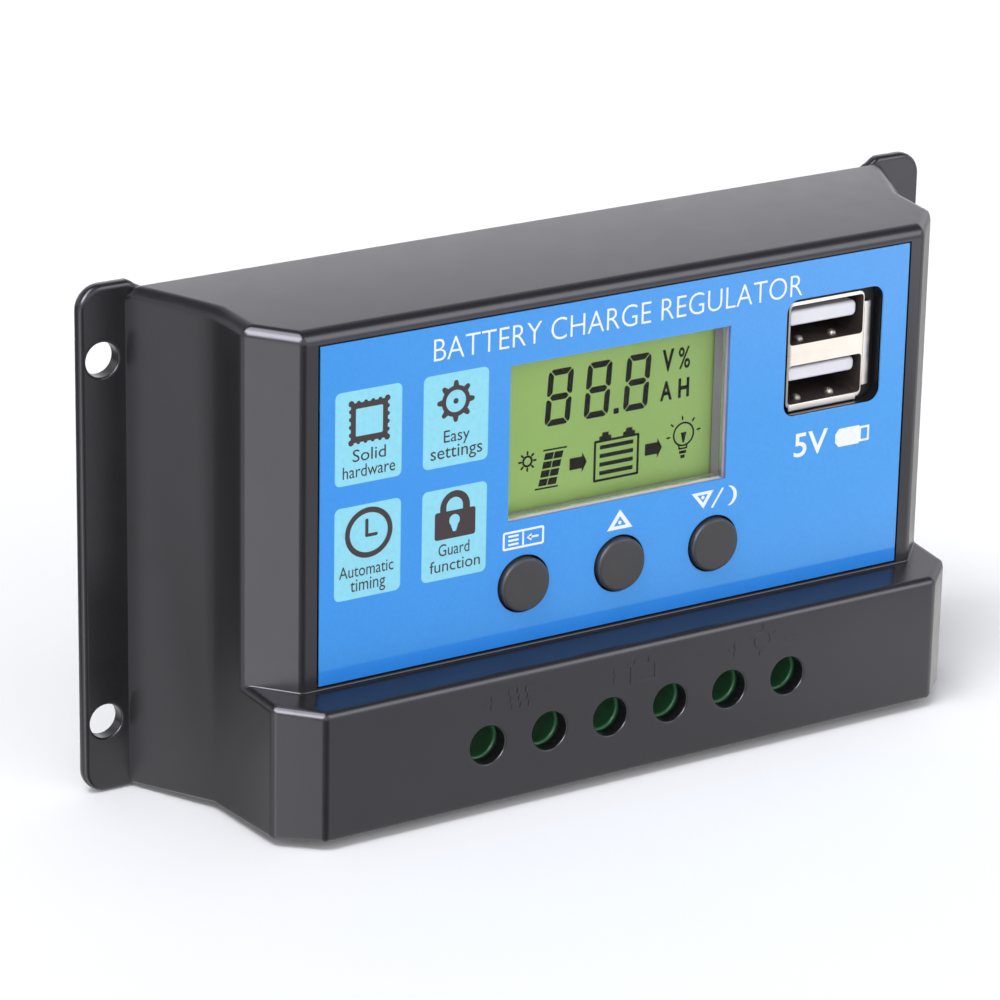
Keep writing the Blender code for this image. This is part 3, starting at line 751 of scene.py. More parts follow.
def front_cutter(name, offset):
    """Cuts the front face, its chamfered sides and the sloping ledge above the terminals."""
    panel = FRONT_D - offset
    corner = FRONT_CORNER_X - offset * math.tan(math.radians(22.5))
    out = 12.0
    half = [(corner + out * CHAMFER_X / CHAMFER_D, 60.0),
            (corner + out * CHAMFER_X / CHAMFER_D, panel - out), (corner, panel)]
    left = [(-x, depth) for x, depth in half]
    cutter = prism(name, left + [half[2], half[1], half[0]], (-10.0, 60.0), "z")
    for vertex in cutter.data.vertices:
        if vertex.co.z < 0.0:
            depth = -vertex.co.y / MM
            vertex.co.z = (LEDGE_Z - offset - LEDGE_SLOPE * (depth - FRONT_D)) * MM
    return cutter


def side_outline(offset):
    low = [(d, z + offset) for d, z in BELOW]
    high = [(d, z - offset) for d, z in ABOVE + [BACK_INSIDE if offset else BACK_OUTSIDE]]
    low[-1] = (TERM_D - offset, low[-1][1])
    high[0] = (TERM_D - offset, high[0][1])
    return low + high


def shell_body(name, offset, mat=None):
    half = offset_half(PLAN_HALF, offset) if offset else PLAN_HALF
    obj = prism(name, side_outline(offset), (-70.0, 70.0), "x", mat)
    boolean(obj, prism(name + "_plan", mirror_outline(half), (-60.0, 60.0), "z"), "INTERSECT")
    boolean(obj, front_cutter(name + "_front", offset))
    return obj


def ear_outline(side):
    right = (
        [(57.0, -33.6), (58.2, -34.4), (59.6, -EAR_Z)]
        + arc(EAR_X - EAR_RADIUS, -EAR_Z + EAR_RADIUS, EAR_RADIUS, 270, 360, 9)
        + arc(EAR_X - EAR_RADIUS, EAR_Z - EAR_RADIUS, EAR_RADIUS, 0, 90, 9)
        + [(59.6, EAR_Z), (58.9, 34.55), (58.3, 34.1), (57.0, 33.5)]
    )
    return right if side > 0 else [(-a, b) for a, b in reversed(right)]


def edge_radius(edge):
    """Rounding of one edge of the sharp-edged body, in millimetres."""
    ends = [v.co / MM for v in edge.verts]
    heights = [c.z for c in ends]
    depths = [-c.y for c in ends]
    if len(edge.link_faces) != 2 or edge.calc_face_angle() < math.radians(25.0):
        return 0.0
    if not edge.is_convex:
        return 0.22
    if max(depths) < 2.6 and abs(depths[0] - depths[1]) < 0.1 and min(heights) > 31.0:
        return 0.3
    if min(heights) > 31.0 or max(heights) > 33.0 and max(depths) < 3.0:
        return 1.7
    if max(depths) < 0.5 or max(heights) < -33.0:
        return 0.6
    if max(heights) < -14.0 and abs(heights[0] - heights[1]) < 1.6:
        return 1.1
    return 0.62


def weighted_rounding(obj):
    """Rounds every edge by its own radius through bevel weights."""
    widest = 2.0
    mesh = bmesh.new()
    mesh.from_mesh(obj.data)
    bmesh.ops.remove_doubles(mesh, verts=mesh.verts, dist=0.05 * MM)
    bmesh.ops.dissolve_limit(mesh, angle_limit=math.radians(0.05), verts=mesh.verts, edges=mesh.edges)
    layer = mesh.edges.layers.float.new("bevel_weight_edge")
    for edge in mesh.edges:
        edge[layer] = edge_radius(edge) / widest
    mesh.to_mesh(obj.data)
    mesh.free()
    bevel = obj.modifiers.new("rounded_edges", "BEVEL")
    bevel.width = widest * MM
    bevel.segments = 7
    bevel.limit_method = "WEIGHT"


body = shell_body("housing_shell", 0.0, BLACK)
freeze(body)
weighted_rounding(body)
freeze(body)
boolean(body, block("behind_wall", (-90, 90), (-20, 0), (-60, 60)))
for side, word in ((-1, "left"), (1, "right")):
    ear = prism(f"ear_{word}", ear_outline(side), (0.0, EAR_THICKNESS))
    rounding(ear, 0.78, 5, 40.0)
    freeze(ear)
    boolean(body, ear, "UNION")
boolean(body, shell_body("cavity", WALL))
boolean(body, block("label_recess", grown(LABEL_BOX[0], 0.3), (FRONT_D - 0.5, 40),
                    (LABEL_BOX[2][0] - 0.25, LABEL_BOX[2][1] + 0.2)))
# bosses for the case screws and posts for the board screws
for x, z in CASE_POINTS:
    boolean(body, lathe("boss", x, z, [(2.3, 3.2), (24.0 if z > 0 else 30.0, 3.2)], segments=24), "UNION")
turned(body, "post", POST_POINTS, [(7.9, 2.4), (26.0, 2.4)], 24, "UNION")
turned(body, "boss_hole", CASE_POINTS, [(1.0, 1.45), (15.5, 1.45)], 20)
turned(body, "post_hole", POST_POINTS, [(7.0, 1.3), (15.5, 1.3)], 20)
turned(body, "ear_hole", EAR_HOLES, fillet_profile(-5.0, EAR_THICKNESS, EAR_HOLE_RADIUS, 0.3), 48)
boolean(body, block("lcd_opening", grown(WINDOW_X, 1.0), (20, 40), grown(WINDOW_Z, 1.0)))
boolean(body, prism("usb_opening", SOCKET_OUTLINE, (23.5, 40.0)))
BUTTON_HOLE = [(20, BUTTON_HOLE_RADIUS), (40, BUTTON_HOLE_RADIUS)]
turned(body, "button_hole", BUTTON_POINTS, BUTTON_HOLE, 64)
turned(body, "driver_hole", TERM_POINTS, fillet_profile(29.5, TERM_D, DRIVER_HOLE_RADIUS, 0.28), 64)
for x, _ in TERM_POINTS:
    boolean(body, block("wire_entry", around(x, 3.6), (9.8, 17.6), (-40, -30.5)))
freeze(body, BLACK)
body.name = "housing_shell"
smooth(body, 28.0)
register(body, "front_housing")

# Raised marks over the terminals: plus, pictogram, minus for panel, battery and load
SIGN_SHIFT, SIGN_SIZE, SIGN_WIDTH = 4.6, 0.85, 0.42
marks = Draft(TERM_D - 0.15, TERM_D + 0.07)
for kind, mx, mz in (("panel", -19.0, -19.4), ("battery", 0.15, -19.5), ("load", 19.6, -19.6)):
    plus_x, minus_x = mx - SIGN_SHIFT, mx + SIGN_SHIFT
    marks.stroke((plus_x - SIGN_SIZE, mz), (plus_x + SIGN_SIZE, mz), SIGN_WIDTH)
    marks.stroke((plus_x, mz - SIGN_SIZE), (plus_x, mz - 0.24), SIGN_WIDTH)
    marks.stroke((plus_x, mz + 0.24), (plus_x, mz + SIGN_SIZE), SIGN_WIDTH)
    marks.stroke((minus_x - SIGN_SIZE, mz), (minus_x + SIGN_SIZE, mz), SIGN_WIDTH)
    if kind == "panel":
        for row in range(3):
            for col in range(3):
                x0 = mx - 1.9 + col * 1.3 + (1 - row) * 0.25
                z0 = mz - 1.5 + row * 1.05
                marks.prism([(x0, z0), (x0 + 1.1, z0), (x0 + 1.2, z0 + 0.85), (x0 + 0.1, z0 + 0.85)])
    elif kind == "battery":
        marks.frame(mx - 2.1, mx + 2.1, mz - 1.7, mz + 1.0, 0.35, 0.25)
        marks.rectangle(mx - 1.5, mx - 0.7, mz + 1.05, mz + 1.7)
        marks.rectangle(mx + 0.7, mx + 1.5, mz + 1.05, mz + 1.7)
    else:
        marks.ring(circle(mx, mz + 0.5, 1.45, 28), circle(mx, mz + 0.5, 1.1, 28))
        marks.rectangle(mx - 0.6, mx + 0.6, mz - 1.75, mz - 1.05)
        marks.rays(mx, mz + 0.5, (20, 90, 160), (1.75, 1.75), (2.2, 2.2), 0.3)
marks = marks.make("terminal_marks", BLACK)
rounding(marks, 0.05, 2, 50.0)
register(marks)
clear_helpers()

# =========================================================================================
# Back cover and case screws
# =========================================================================================
cover = prism("cover_plate", rounded_rectangle(*COVER_BOX[0], *COVER_BOX[2], 1.5), COVER_BOX[1],
              mat=COVER_BLACK)
rounding(cover, 0.25, 3, 40.0)
freeze(cover)
for x, z in CASE_POINTS:
    boolean(cover, lathe("sink", x, z, [(-1.0, 2.9), (1.2, 2.9)], segments=40))
    boolean(cover, lathe("hole", x, z, [(-1.0, 1.5), (4.0, 1.5)], segments=24))
# nine shallow slots in the middle of the cover
for k in range(9):
    x = -16.0 + 4.0 * k
    boolean(cover, prism("slot", rounded_rectangle(x - 0.6, x + 0.6, -9.0, 9.0, 0.55, 4), (-1.0, 0.6)))
freeze(cover, COVER_BLACK)
smooth(cover, 30.0)
register(cover, "back_cover")
clear_helpers()


def screw_profile(start, end):
    """(depth, radius) of a screw: domed head, ten turns of thread and a blunt tip."""
    profile = [(start, 1.6), (start + 0.12, 2.1), (start + 0.35, 2.35), (start + 0.8, 2.4),
               (start + 0.8, 1.1)]
    turns, pitch = 10, 1.1
    for k in range(turns):
        turn = start + 1.4 + k * pitch
        profile += [(turn, 0.95), (turn + 0.35, 1.18), (turn + 0.7, 0.95)]
    return profile + [(end - 0.1, 0.8), (end, 0.3)]


# Outline of the cross recess about the screw's axis
ARM, SLIT = 1.35, 0.22
CROSS = [(-ARM, -SLIT), (-SLIT, -SLIT), (-SLIT, -ARM), (SLIT, -ARM), (SLIT, -SLIT), (ARM, -SLIT),
         (ARM, SLIT), (SLIT, SLIT), (SLIT, ARM), (-SLIT, ARM), (-SLIT, SLIT), (-ARM, SLIT)]
for i, (x, z) in enumerate(CASE_POINTS, 1):
    start, end = CASE_SCREWS[i - 1][1]
    screw = lathe(f"cover_screw_{i}", x, z, screw_profile(start, end), STEEL, segments=32)
    boolean(screw, prism("cross", [(x + a, z + b) for a, b in CROSS], (-1.0, start + 0.55)))
    freeze(screw, STEEL)
    smooth(screw, 35.0, weighted=False)
    register(screw, f"case_screw_{i}")
clear_helpers()

# =========================================================================================
# Printed overlay
# =========================================================================================
overlay = block("overlay", *LABEL_BOX, BLUE)
boolean(overlay, block("window_cut", WINDOW_X, (20, 40), WINDOW_Z))
boolean(overlay, prism("usb_cut", SOCKET_OUTLINE, (20.0, 40.0)))
turned(overlay, "hole", BUTTON_POINTS, BUTTON_HOLE, 64)
freeze(overlay, BLUE)
rounding(overlay, 0.04, 2, 60.0)
register(overlay, "front_label")
clear_helpers()

PRINT_BACK = LABEL_D - 0.02     # prints are sunk into the overlay a little, so nothing floats
TILE_FRONT = LABEL_D + 0.018
INK_FRONT = LABEL_D + 0.034     # ink on tiles
KEYHOLE_FRONT = LABEL_D + 0.050  # tile colour over dark ink
OVERLAP_DROP = 0.003            # for prints that overlap another

# Pale tiles: x0, x1, z0, z1
TILES = [(-43.9, -34.05, 11.95, 24.45), (-30.85, -21.05, 11.95, 24.5),
         (-43.9, -34.05, -3.6, 9.0), (-30.85, -21.05, -3.5, 8.95)]
tiles = Draft(PRINT_BACK, TILE_FRONT)
for bounds in TILES:
    tiles.prism(rounded_rectangle(*bounds, 0.8))
# keyhole over the padlock
tiles.prism(circle(-25.95, 4.42, 0.8, 24), (TILE_FRONT - 0.01, KEYHOLE_FRONT))
tiles.prism([(-26.15, 2.9), (-25.72, 2.9), (-25.3, 4.1), (-26.6, 4.1)],
            (TILE_FRONT - 0.01, KEYHOLE_FRONT + 0.004))
register(tiles.make("overlay_tiles", TILE_INK))

ink = Draft(TILE_FRONT - 0.012, INK_FRONT)
# processor with round pins on all four sides, larger at the corners
ink.ring(rounded_rectangle(-41.62, -36.16, 17.5, 22.78, 0.5, 4),
         rounded_rectangle(-40.88, -36.88, 18.31, 22.0, 0.2, 4))
for k in range(6):
    for z in (17.55, 22.75):
        ink.prism(circle(-41.55 + 1.064 * k, z, 0.42 if k in (0, 5) else 0.3, 14), drop=OVERLAP_DROP)
    for x in (-41.6, -36.18):
        if 0 < k < 5:
            ink.prism(circle(x, 17.55 + 1.04 * k, 0.3, 14), drop=OVERLAP_DROP)
# gear with eight teeth; a tooth is (radius, sideways)
GEAR_X, GEAR_Z = -26.0, 20.6
TOOTH = [(2.02, -0.44), (2.5, -0.34), (2.72, -0.26), (2.82, -0.1),
         (2.82, 0.1), (2.72, 0.26), (2.5, 0.34), (2.02, 0.44)]
ink.ring(circle(GEAR_X, GEAR_Z, 2.12, 48), circle(GEAR_X, GEAR_Z, 1.5, 48))
for k in range(8):
    ux, uz = math.cos(math.radians(45 * k)), math.sin(math.radians(45 * k))
    ink.prism([(GEAR_X + r * ux - w * uz, GEAR_Z + r * uz + w * ux) for r, w in TOOTH],
              drop=OVERLAP_DROP)
ink.prism(circle(GEAR_X, GEAR_Z, 0.38, 20))
# clock
ink.ring(circle(-38.82, 5.1, 3.53, 48, 3.42), circle(-38.82, 5.1, 2.82, 48, 2.68))
ink.stroke((-39.12, 4.72), (-39.12, 6.78), 0.46)
ink.stroke((-39.0, 4.72), (-37.7, 4.72), 0.44, drop=OVERLAP_DROP)
# padlock: body, then shackle
ink.prism(rounded_rectangle(-28.92, -22.76, 2.0, 5.78, 0.35, 4))
outer = [(-23.62, 5.7)] + arc(-25.88, 6.2, 2.26, 0, 180, 20) + [(-28.14, 5.7)]
inner = [(-24.68, 5.7)] + arc(-25.94, 6.3, 1.26, 0, 180, 20) + [(-27.2, 5.7)]
ink.prism(outer + list(reversed(inner)), drop=OVERLAP_DROP)
# Captions: words, x0, x1, baseline
CAPTIONS = [
    ("Solid", -41.3, -36.4, 14.95), ("hardware", -42.75, -35.0, 12.85),
    ("Easy", -27.75, -23.85, 15.2), ("settings", -29.7, -21.9, 13.1),
    ("Automatic", -43.2, -35.1, -0.62), ("timing", -41.5, -36.3, -2.62),
    ("Guard", -28.3, -23.6, -0.25), ("function", -29.6, -21.95, -2.4),
]
for caption in CAPTIONS:
    ink.text(*caption, cap=1.62)
register(ink.make("overlay_dark_print", DARK_INK))

white = Draft(PRINT_BACK, TILE_FRONT)
white.text("BATTERY CHARGE REGULATOR", -29.4, 28.3, 26.35, cap=3.0, weight=-0.012)
white.text("5V", 28.0, 33.6, 3.5, cap=3.3, weight=0.01)
# plug pictogram to the right of the 5V mark
white.prism([(35.5, 3.7), (38.9, 3.7), (38.9, 6.3), (35.5, 6.3), (34.9, 5.6), (34.9, 4.4)])
white.frame(38.9, 40.6, 3.9, 6.1, 0.32, 0.1, drop=OVERLAP_DROP)
# menu key
white.frame(-18.45, -12.05, -1.36, 1.19, 0.3, 0.3)
white.stroke((-15.3, -1.0), (-15.3, 0.85), 0.26, round_ends=False, drop=OVERLAP_DROP)
for z in (-0.65, -0.08, 0.5):
    white.stroke((-17.6, z), (-16.0, z), 0.28, round_ends=False)
white.stroke((-14.3, -0.1), (-12.9, -0.1), 0.28, round_ends=False)
white.prism([(-14.75, -0.1), (-14.0, -0.62), (-14.0, 0.42)])
# up and down triangles, each with a dot in the middle
for corners in ([(-2.1, -1.6), (1.95, -1.6), (-0.1, 1.15)],
                [(11.38, 1.22), (13.37, -1.15), (14.96, 1.22)]):
    mx, mz = sum(p[0] for p in corners) / 3, sum(p[1] for p in corners) / 3
    white.ring(corners, [(mx + (x - mx) * 0.48, mz + (z - mz) * 0.48) for x, z in corners])
    white.prism(circle(mx, mz, 0.26, 14))
# slash and moon
white.stroke((14.82, -1.2), (16.42, 1.15), 0.3)
white.prism(arc(17.35, -0.05, 1.45, -78, 78, 18) + arc(16.75, -0.05, 1.5, 66, -66, 18))
register(white.make("overlay_white_print", WHITE_INK))

# =========================================================================================
# Display segments, sunk halfway into the glass
# =========================================================================================
SEGMENT_DROP = 0.004
segments = Draft(GLASS_BOX[1][1] - 0.03, GLASS_BOX[1][1] + 0.03)


def skewed(quad, points):
    """Points (u, v) from 0 to 1 across and up, placed in a quad (top left, top right, low left, low right)."""
    top_left, top_right, low_left, low_right = quad
    result = []
    for u, v in points:
        low = [a + (b - a) * u for a, b in zip(low_left, low_right)]
        high = [a + (b - a) * u for a, b in zip(top_left, top_right)]
        result.append((low[0] + (high[0] - low[0]) * v, low[1] + (high[1] - low[1]) * v))
    return result


# Segments of a digit in (u, v); SEGMENT_U is the thickness of upright ones, SEGMENT_V of flat ones
SEGMENT_U, SEGMENT_V = 0.215, 0.112
UPRIGHT = [(0.0, 0.56), (0.0, 0.90), (0.035, 0.955), (0.085, 0.962), (SEGMENT_U, 0.885),
           (SEGMENT_U, 0.59), (0.115, 0.535), (0.04, 0.53)]
FLAT = [(0.10, 0.978), (0.16, 1.0), (0.84, 1.0), (0.90, 0.978), (0.74, 1.0 - SEGMENT_V),
        (0.26, 1.0 - SEGMENT_V)]
MIDDLE = [(0.13, 0.505), (0.23, 0.5 + SEGMENT_V * 0.52), (0.77, 0.5 + SEGMENT_V * 0.52), (0.87, 0.505),
          (0.77, 0.5 - SEGMENT_V * 0.48), (0.23, 0.5 - SEGMENT_V * 0.48)]
SEVEN = (
    UPRIGHT,
    [(1 - u, v) for u, v in reversed(UPRIGHT)],
    [(u, 1 - v) for u, v in reversed(UPRIGHT)],
    [(1 - u, 1 - v) for u, v in UPRIGHT],
    FLAT,
    [(u, 1 - v) for u, v in reversed(FLAT)],
    MIDDLE,
)
# Quads of the three digits, (x, z) corners
DIGITS = [((-9.75, 21.1), (-5.83, 21.1), (-10.33, 13.4), (-6.4, 13.4)),
          ((-3.65, 21.1), (0.25, 21.1), (-4.22, 13.4), (-0.32, 13.4)),
          ((2.55, 21.1), (6.42, 21.1), (2.0, 13.4), (5.88, 13.4))]
for quad in DIGITS:
    for outline in SEVEN:
        segments.prism(skewed(quad, outline))
# decimal point and units: words, x0, x1, baseline, cap, weight
segments.rectangle(0.55, 1.38, 13.38, 14.15, 0.12)
for unit in (("V", 8.15, 10.0, 18.05, 2.95, 0.03), ("%", 10.75, 12.6, 18.0, 2.95, 0.012),
             ("A", 7.95, 9.85, 14.0, 2.6, 0.03), ("H", 10.85, 12.6, 14.0, 2.6, 0.03)):
    segments.text(*unit)
# sun
SUN = (-12.83, 9.12)
segments.ring(circle(*SUN, 0.82, 24), circle(*SUN, 0.52, 24))
segments.rays(*SUN, range(0, 360, 45), (0.98, 0.98), (1.3, 1.3), 0.27)
# solar panel: rails above and below, eight cells
PANEL = ((-10.35, 10.3), (-6.62, 10.25), (-11.6, 4.85), (-8.0, 4.8))
for v0, v1 in ((0.955, 0.995), (0.0, 0.04)):
    segments.prism(skewed(PANEL, [(0.0, v0), (1.0, v0), (1.0, v1), (0.0, v1)]))
for row in range(4):
    for col in range(2):
        u0, v0 = 0.12 + col * 0.40, 0.085 + row * 0.215
        u1, v1 = u0 + 0.36, v0 + 0.17
        segments.prism(skewed(PANEL, [(u0, v0), (u1, v0), (u1, v1), (u0, v1)]))
# arrows: tail x, tip x, z
for tail, tip, z in ((-6.2, -3.48, 7.52), (5.78, 8.5, 7.45)):
    neck = tail + 1.95
    segments.prism([(tail, z - 0.82), (neck, z - 0.82), (neck, z - 1.4), (tip, z), (neck, z + 1.4),
                    (neck, z + 0.82), (tail, z + 0.82)])
# battery: case, poles and charge bars
segments.frame(-2.4, 4.8, 4.3, 10.1, 0.34, 0.2)
for x in (-0.64, 3.13):
    segments.rectangle(x - 0.5, x + 0.5, 10.55, 11.1)
    segments.rectangle(x - 0.95, x + 0.95, 10.0, 10.62, drop=SEGMENT_DROP)
for z in (5.45, 6.65, 7.85, 9.05):
    segments.rectangle(-1.45, 3.85, z - 0.28, z + 0.28)
# lamp
LAMP_X, LAMP_Z = 11.95, 8.67
segments.ring(circle(LAMP_X, LAMP_Z, 1.72, 36), circle(LAMP_X, LAMP_Z, 1.47, 36))
for left, right, z0, z1 in ((0.72, 0.62, 6.55, 6.78), (0.62, 0.52, 5.95, 6.35), (0.38, 0.28, 5.3, 5.75)):
    segments.rectangle(LAMP_X - left, LAMP_X + right, z0, z1)
segments.stroke((LAMP_X - 0.72, 7.15), (LAMP_X - 0.65, 6.65), 0.22, drop=SEGMENT_DROP)
segments.stroke((LAMP_X + 0.6, 7.15), (LAMP_X + 0.55, 6.65), 0.22, drop=SEGMENT_DROP)
segments.prism([(LAMP_X - 0.45, LAMP_Z + 0.25), (LAMP_X + 0.45, LAMP_Z + 0.25),
                (LAMP_X + 0.12, LAMP_Z - 1.2), (LAMP_X - 0.12, LAMP_Z - 1.2)])
segments.rays(LAMP_X, LAMP_Z, (8, 52, 96, 140, 184), (2.25, 2.1), (2.65, 2.5), 0.24)
register(segments.make("display_segments", SEGMENT_BLACK))

# =========================================================================================
# Display frame and pane
# =========================================================================================
RIGHT_WALL_LEAN = 0.19
bezel = block("display_frame", FRAME_BOX[0], (FRAME_BOX[1][0], 24.7), FRAME_BOX[2], FRAME_GREY)
boolean(bezel, block("collar", grown(WINDOW_X, 0.7), (24.0, FRAME_BOX[1][1]), grown(WINDOW_Z, 0.7)), "UNION")
boolean(bezel, block("pocket", grown(WINDOW_X, 1.5), (10.0, 24.2), grown(WINDOW_Z, 1.3)))
taper = block("window", WINDOW_X, (20.0, 30.0), WINDOW_Z)
for vertex in taper.data.vertices:
    # the right wall leans in towards the glass
    if vertex.co.x > 0.0:
        vertex.co.x += (RIGHT_WALL_LEAN * (-vertex.co.y / MM - FRONT_D)) * MM
boolean(bezel, taper)
freeze(bezel, FRAME_GREY)
smooth(bezel, 40.0, weighted=False)
register(bezel, "lcd_frame")
clear_helpers()

# The pale ledge that carries the pane along its lower edge: (depth, height over the window's edge)
SEAT = [(25.0, -0.02), (26.72, -0.02), (26.72, 0.2), (26.6, 0.28), (25.6, 0.29), (25.0, 0.2)]
seat = prism("pane_seat", [(depth, WINDOW_Z[0] + rise) for depth, rise in SEAT],
             (WINDOW_X[0] + 0.02, WINDOW_X[1] - 0.75), "x", SEAT_GREY)
rounding(seat, 0.04, 2, 50.0)
register(seat)

pane = block("display_pane", *CLEAR_BOX, CLEAR)
rounding(pane, 0.12, 2, 50.0)
register(pane, "lcd_window")

# =========================================================================================
# Buttons: a flange behind the wall, a rounded rim and a slightly dished front
# =========================================================================================
RIM = 0.42
for word, box in CAPS.items():
    back, front = box[1]
    profile = [(back, 4.45), (back + 0.15, 4.6), (back + 1.25, 4.6), (back + 1.4, 4.45),
               (back + 1.4, BUTTON_RADIUS), (front - RIM, BUTTON_RADIUS)]
    for k in range(1, 7):
        angle = math.radians(90 * k / 6)
        profile.append((front - RIM + RIM * math.sin(angle), BUTTON_RADIUS - RIM + RIM * math.cos(angle)))
    profile += [(front - 0.01, 2.4), (front - 0.04, 1.2), (front - 0.05, 0.05)]
    key = lathe(f"key_{word}", *centre(box), profile, CAP_GREY, segments=64)
    smooth(key, 35.0, weighted=False)
    register(key, f"button_cap_{word}", ride=f"button_{word}")

# =========================================================================================
# Stacked charging sockets
# =========================================================================================
SHELL_X, SHELL_Z, SHELL_D = (SHELL_BOX[0][0], 40.0), (9.9, 24.92), SHELL_BOX[1]
SHELL_FRONT = SHELL_D[1]
SHELL_WALL_LEFT, SHELL_WALL_RIGHT = 0.34, 0.16
PORTS = [(18.85, 24.42), (10.5, 15.98)]      # z0, z1
TONGUES = [(21.2, 23.35), (13.4, 15.35)]     # z0, z1

shell = prism("socket_shell", rounded_rectangle(*SHELL_X, *SHELL_Z, 0.9), SHELL_D, mat=NICKEL)
rounding(shell, 0.08, 2, 50.0)
freeze(shell)
for port in PORTS:
    outline = rounded_rectangle(SHELL_X[0] + SHELL_WALL_LEFT, SHELL_X[1] - SHELL_WALL_RIGHT, *port, 0.5, 5)
    boolean(shell, prism("port", outline, (5.0, 40.0)))
freeze(shell, NICKEL)
shell.data.materials.append(PAINTED_SHADE_DARK)
# painted shade: the inside of the ports and the right flank get a dark material in place of the nickel
for polygon in shell.data.polygons:
    x, depth, z = polygon.center.x / MM, -polygon.center.y / MM, polygon.center.z / MM
    in_port = any(z0 - 0.05 < z < z1 + 0.05 for z0, z1 in PORTS)
    inside = SHELL_X[0] + 0.1 < x < SHELL_X[1] - 0.1 and in_port and depth < SHELL_FRONT - 0.15
    flank = polygon.normal.x > 0.6 and x > SHELL_X[1] - 0.5 and depth < SHELL_FRONT - 0.12
    polygon.material_index = 1 if inside or flank else 0
smooth(shell, 35.0)
register(shell, "usb_shell")
clear_helpers()

# Black foam collar round the shell, behind the front wall
collar = prism("socket_collar", rounded_rectangle(25.2, 44.6, 8.5, 26.6, 0.8, 5), (22.9, 24.55),
               mat=SWITCH_BLACK)
boolean(collar, prism("collar_hole", rounded_rectangle(*grown(SHELL_X, 0.03), *grown(SHELL_Z, 0.03), 0.9),
                      (20.0, 30.0)))
rounding(collar, 0.12, 2, 50.0)
freeze(collar, SWITCH_BLACK)
smooth(collar, 40.0)
register(collar)
clear_helpers()

# Outward spring flanges, folded back from the front edge; depths are from the shell's front
FLANGE_RIGHT = [   # (x, depth)
    (39.9, -0.06), (40.02, 0.04), (40.9, 0.02), (41.22, -0.1), (41.35, -0.5),
    (41.1, -0.5), (40.95, -0.28), (40.2, -0.22), (39.9, -0.3)]
FLANGE_BELOW = [   # (depth, z)
    (-0.2, 10.5), (0.03, 10.5), (0.08, 10.4), (0.08, 9.62), (-0.02, 9.48),
    (-0.3, 9.46), (-0.3, 9.7), (-0.2, 9.8)]
flanges = Draft()
flanges.prism([(x, SHELL_FRONT + depth) for x, depth in FLANGE_RIGHT], (11.4, 23.3), "z")
flanges.prism([(SHELL_FRONT + depth, z) for depth, z in FLANGE_BELOW], (27.85, 39.1), "x")
flanges = flanges.make("socket_flanges", NICKEL)
rounding(flanges, 0.09, 3, 35.0)
freeze(flanges)
smooth(flanges, 45.0)
register(flanges)

# Two dimples on the floor of each port
dimples = Draft()
for port in PORTS:
    for x in (30.4, 35.9):
        verts = bmesh.ops.create_uvsphere(dimples.mesh, u_segments=24, v_segments=14, radius=1.0)["verts"]
        bmesh.ops.scale(dimples.mesh, vec=(0.60 * MM, 0.75 * MM, 0.60 * MM), verts=verts)
        bmesh.ops.translate(dimples.mesh, vec=point(x, SHELL_FRONT - 1.7, port[0] + 0.16), verts=verts)
dimples = dimples.make("socket_spring_dimples", SPRING_NICKEL)
smooth(dimples, 60.0, weighted=False)
register(dimples)

# White core: a plate at the back with a rounded tongue in each port
core_back, core_front = INSULATOR_BOX[1]
core = block("socket_core", (SHELL_BOX[0][0] + 0.6, SHELL_BOX[0][1] - 0.9), (core_back, core_back + 1.7),
             (SHELL_BOX[2][0] + 0.8, SHELL_BOX[2][1] - 0.8), WHITE_PLASTIC)
for heights in TONGUES:
    tongue = prism("tongue", rounded_rectangle(28.15, 39.4, *heights, 0.72, 8), (core_back + 0.5, core_front))
    rounding(tongue, 0.45, 5, 50.0)
    freeze(tongue)
    boolean(core, tongue, "UNION")
freeze(core, WHITE_PLASTIC)
smooth(core, 50.0)
register(core, "usb_insulator")
clear_helpers()

# =========================================================================================
# Terminal block: wells with rounded rims in front of open bays, a holed shelf between them
# =========================================================================================
SHELF_BACK, SHELF_FRONT = 22.4, 23.6
green = block("terminal_body", *BLOCK_BOX, TERMINAL_GREEN)
rounding(green, 0.2, 2, 50.0)
freeze(green)
for x, z in TERM_POINTS:
    boolean(green, block("bay", around(x, 3.7), (5.0, SHELF_BACK), (-40.0, -19.3)))
    well = fillet_profile(SHELF_FRONT, BLOCK_BOX[1][1], 2.45, 0.45)
    boolean(green, lathe("well", x, z, well, segments=56))
    boolean(green, lathe("shelf_hole", x, z, [(20.0, 1.9), (30.0, 1.9)], segments=32))
freeze(green, TERMINAL_GREEN)
smooth(green, 35.0)
register(green, "terminal_block")
clear_helpers()

# =========================================================================================
# CAD nodes that keep their own meshes
# =========================================================================================
FINISHES = [
    (DISPLAY_GREEN, ["lcd_glass"]),
    (DIFFUSER, ["lcd_backlight"]),
    (ZEBRA, ["lcd_zebra_strip"]),
    (SWITCH_BLACK, ["board_header"] + [f"switch_{part}_{word}" for part in ("body", "plunger")
                                       for word in WORDS]),
    (GOLD, ["usb_contacts_upper", "usb_contacts_lower"]),
    (SLEEVE, ["capacitor_large", "capacitor_small"]),
    (FERRITE, ["inductor"]),
    (EPOXY, ["microcontroller", "regulator_chip"] + numbered("power_transistor", 4)),
    (BOARD, ["main_pcb", "display_board"]),
    (ZINC, numbered("terminal_screw", 6) + numbered("clamp_cage", 6)),
    (BRASS, numbered("terminal_contact", 6)),
    (STEEL, numbered("pcb_screw", 4)),
]
for finish, nodes in FINISHES:
    for node in nodes:
        materials = frame["nodes"][node].data.materials
        materials.clear()
        materials.append(finish)

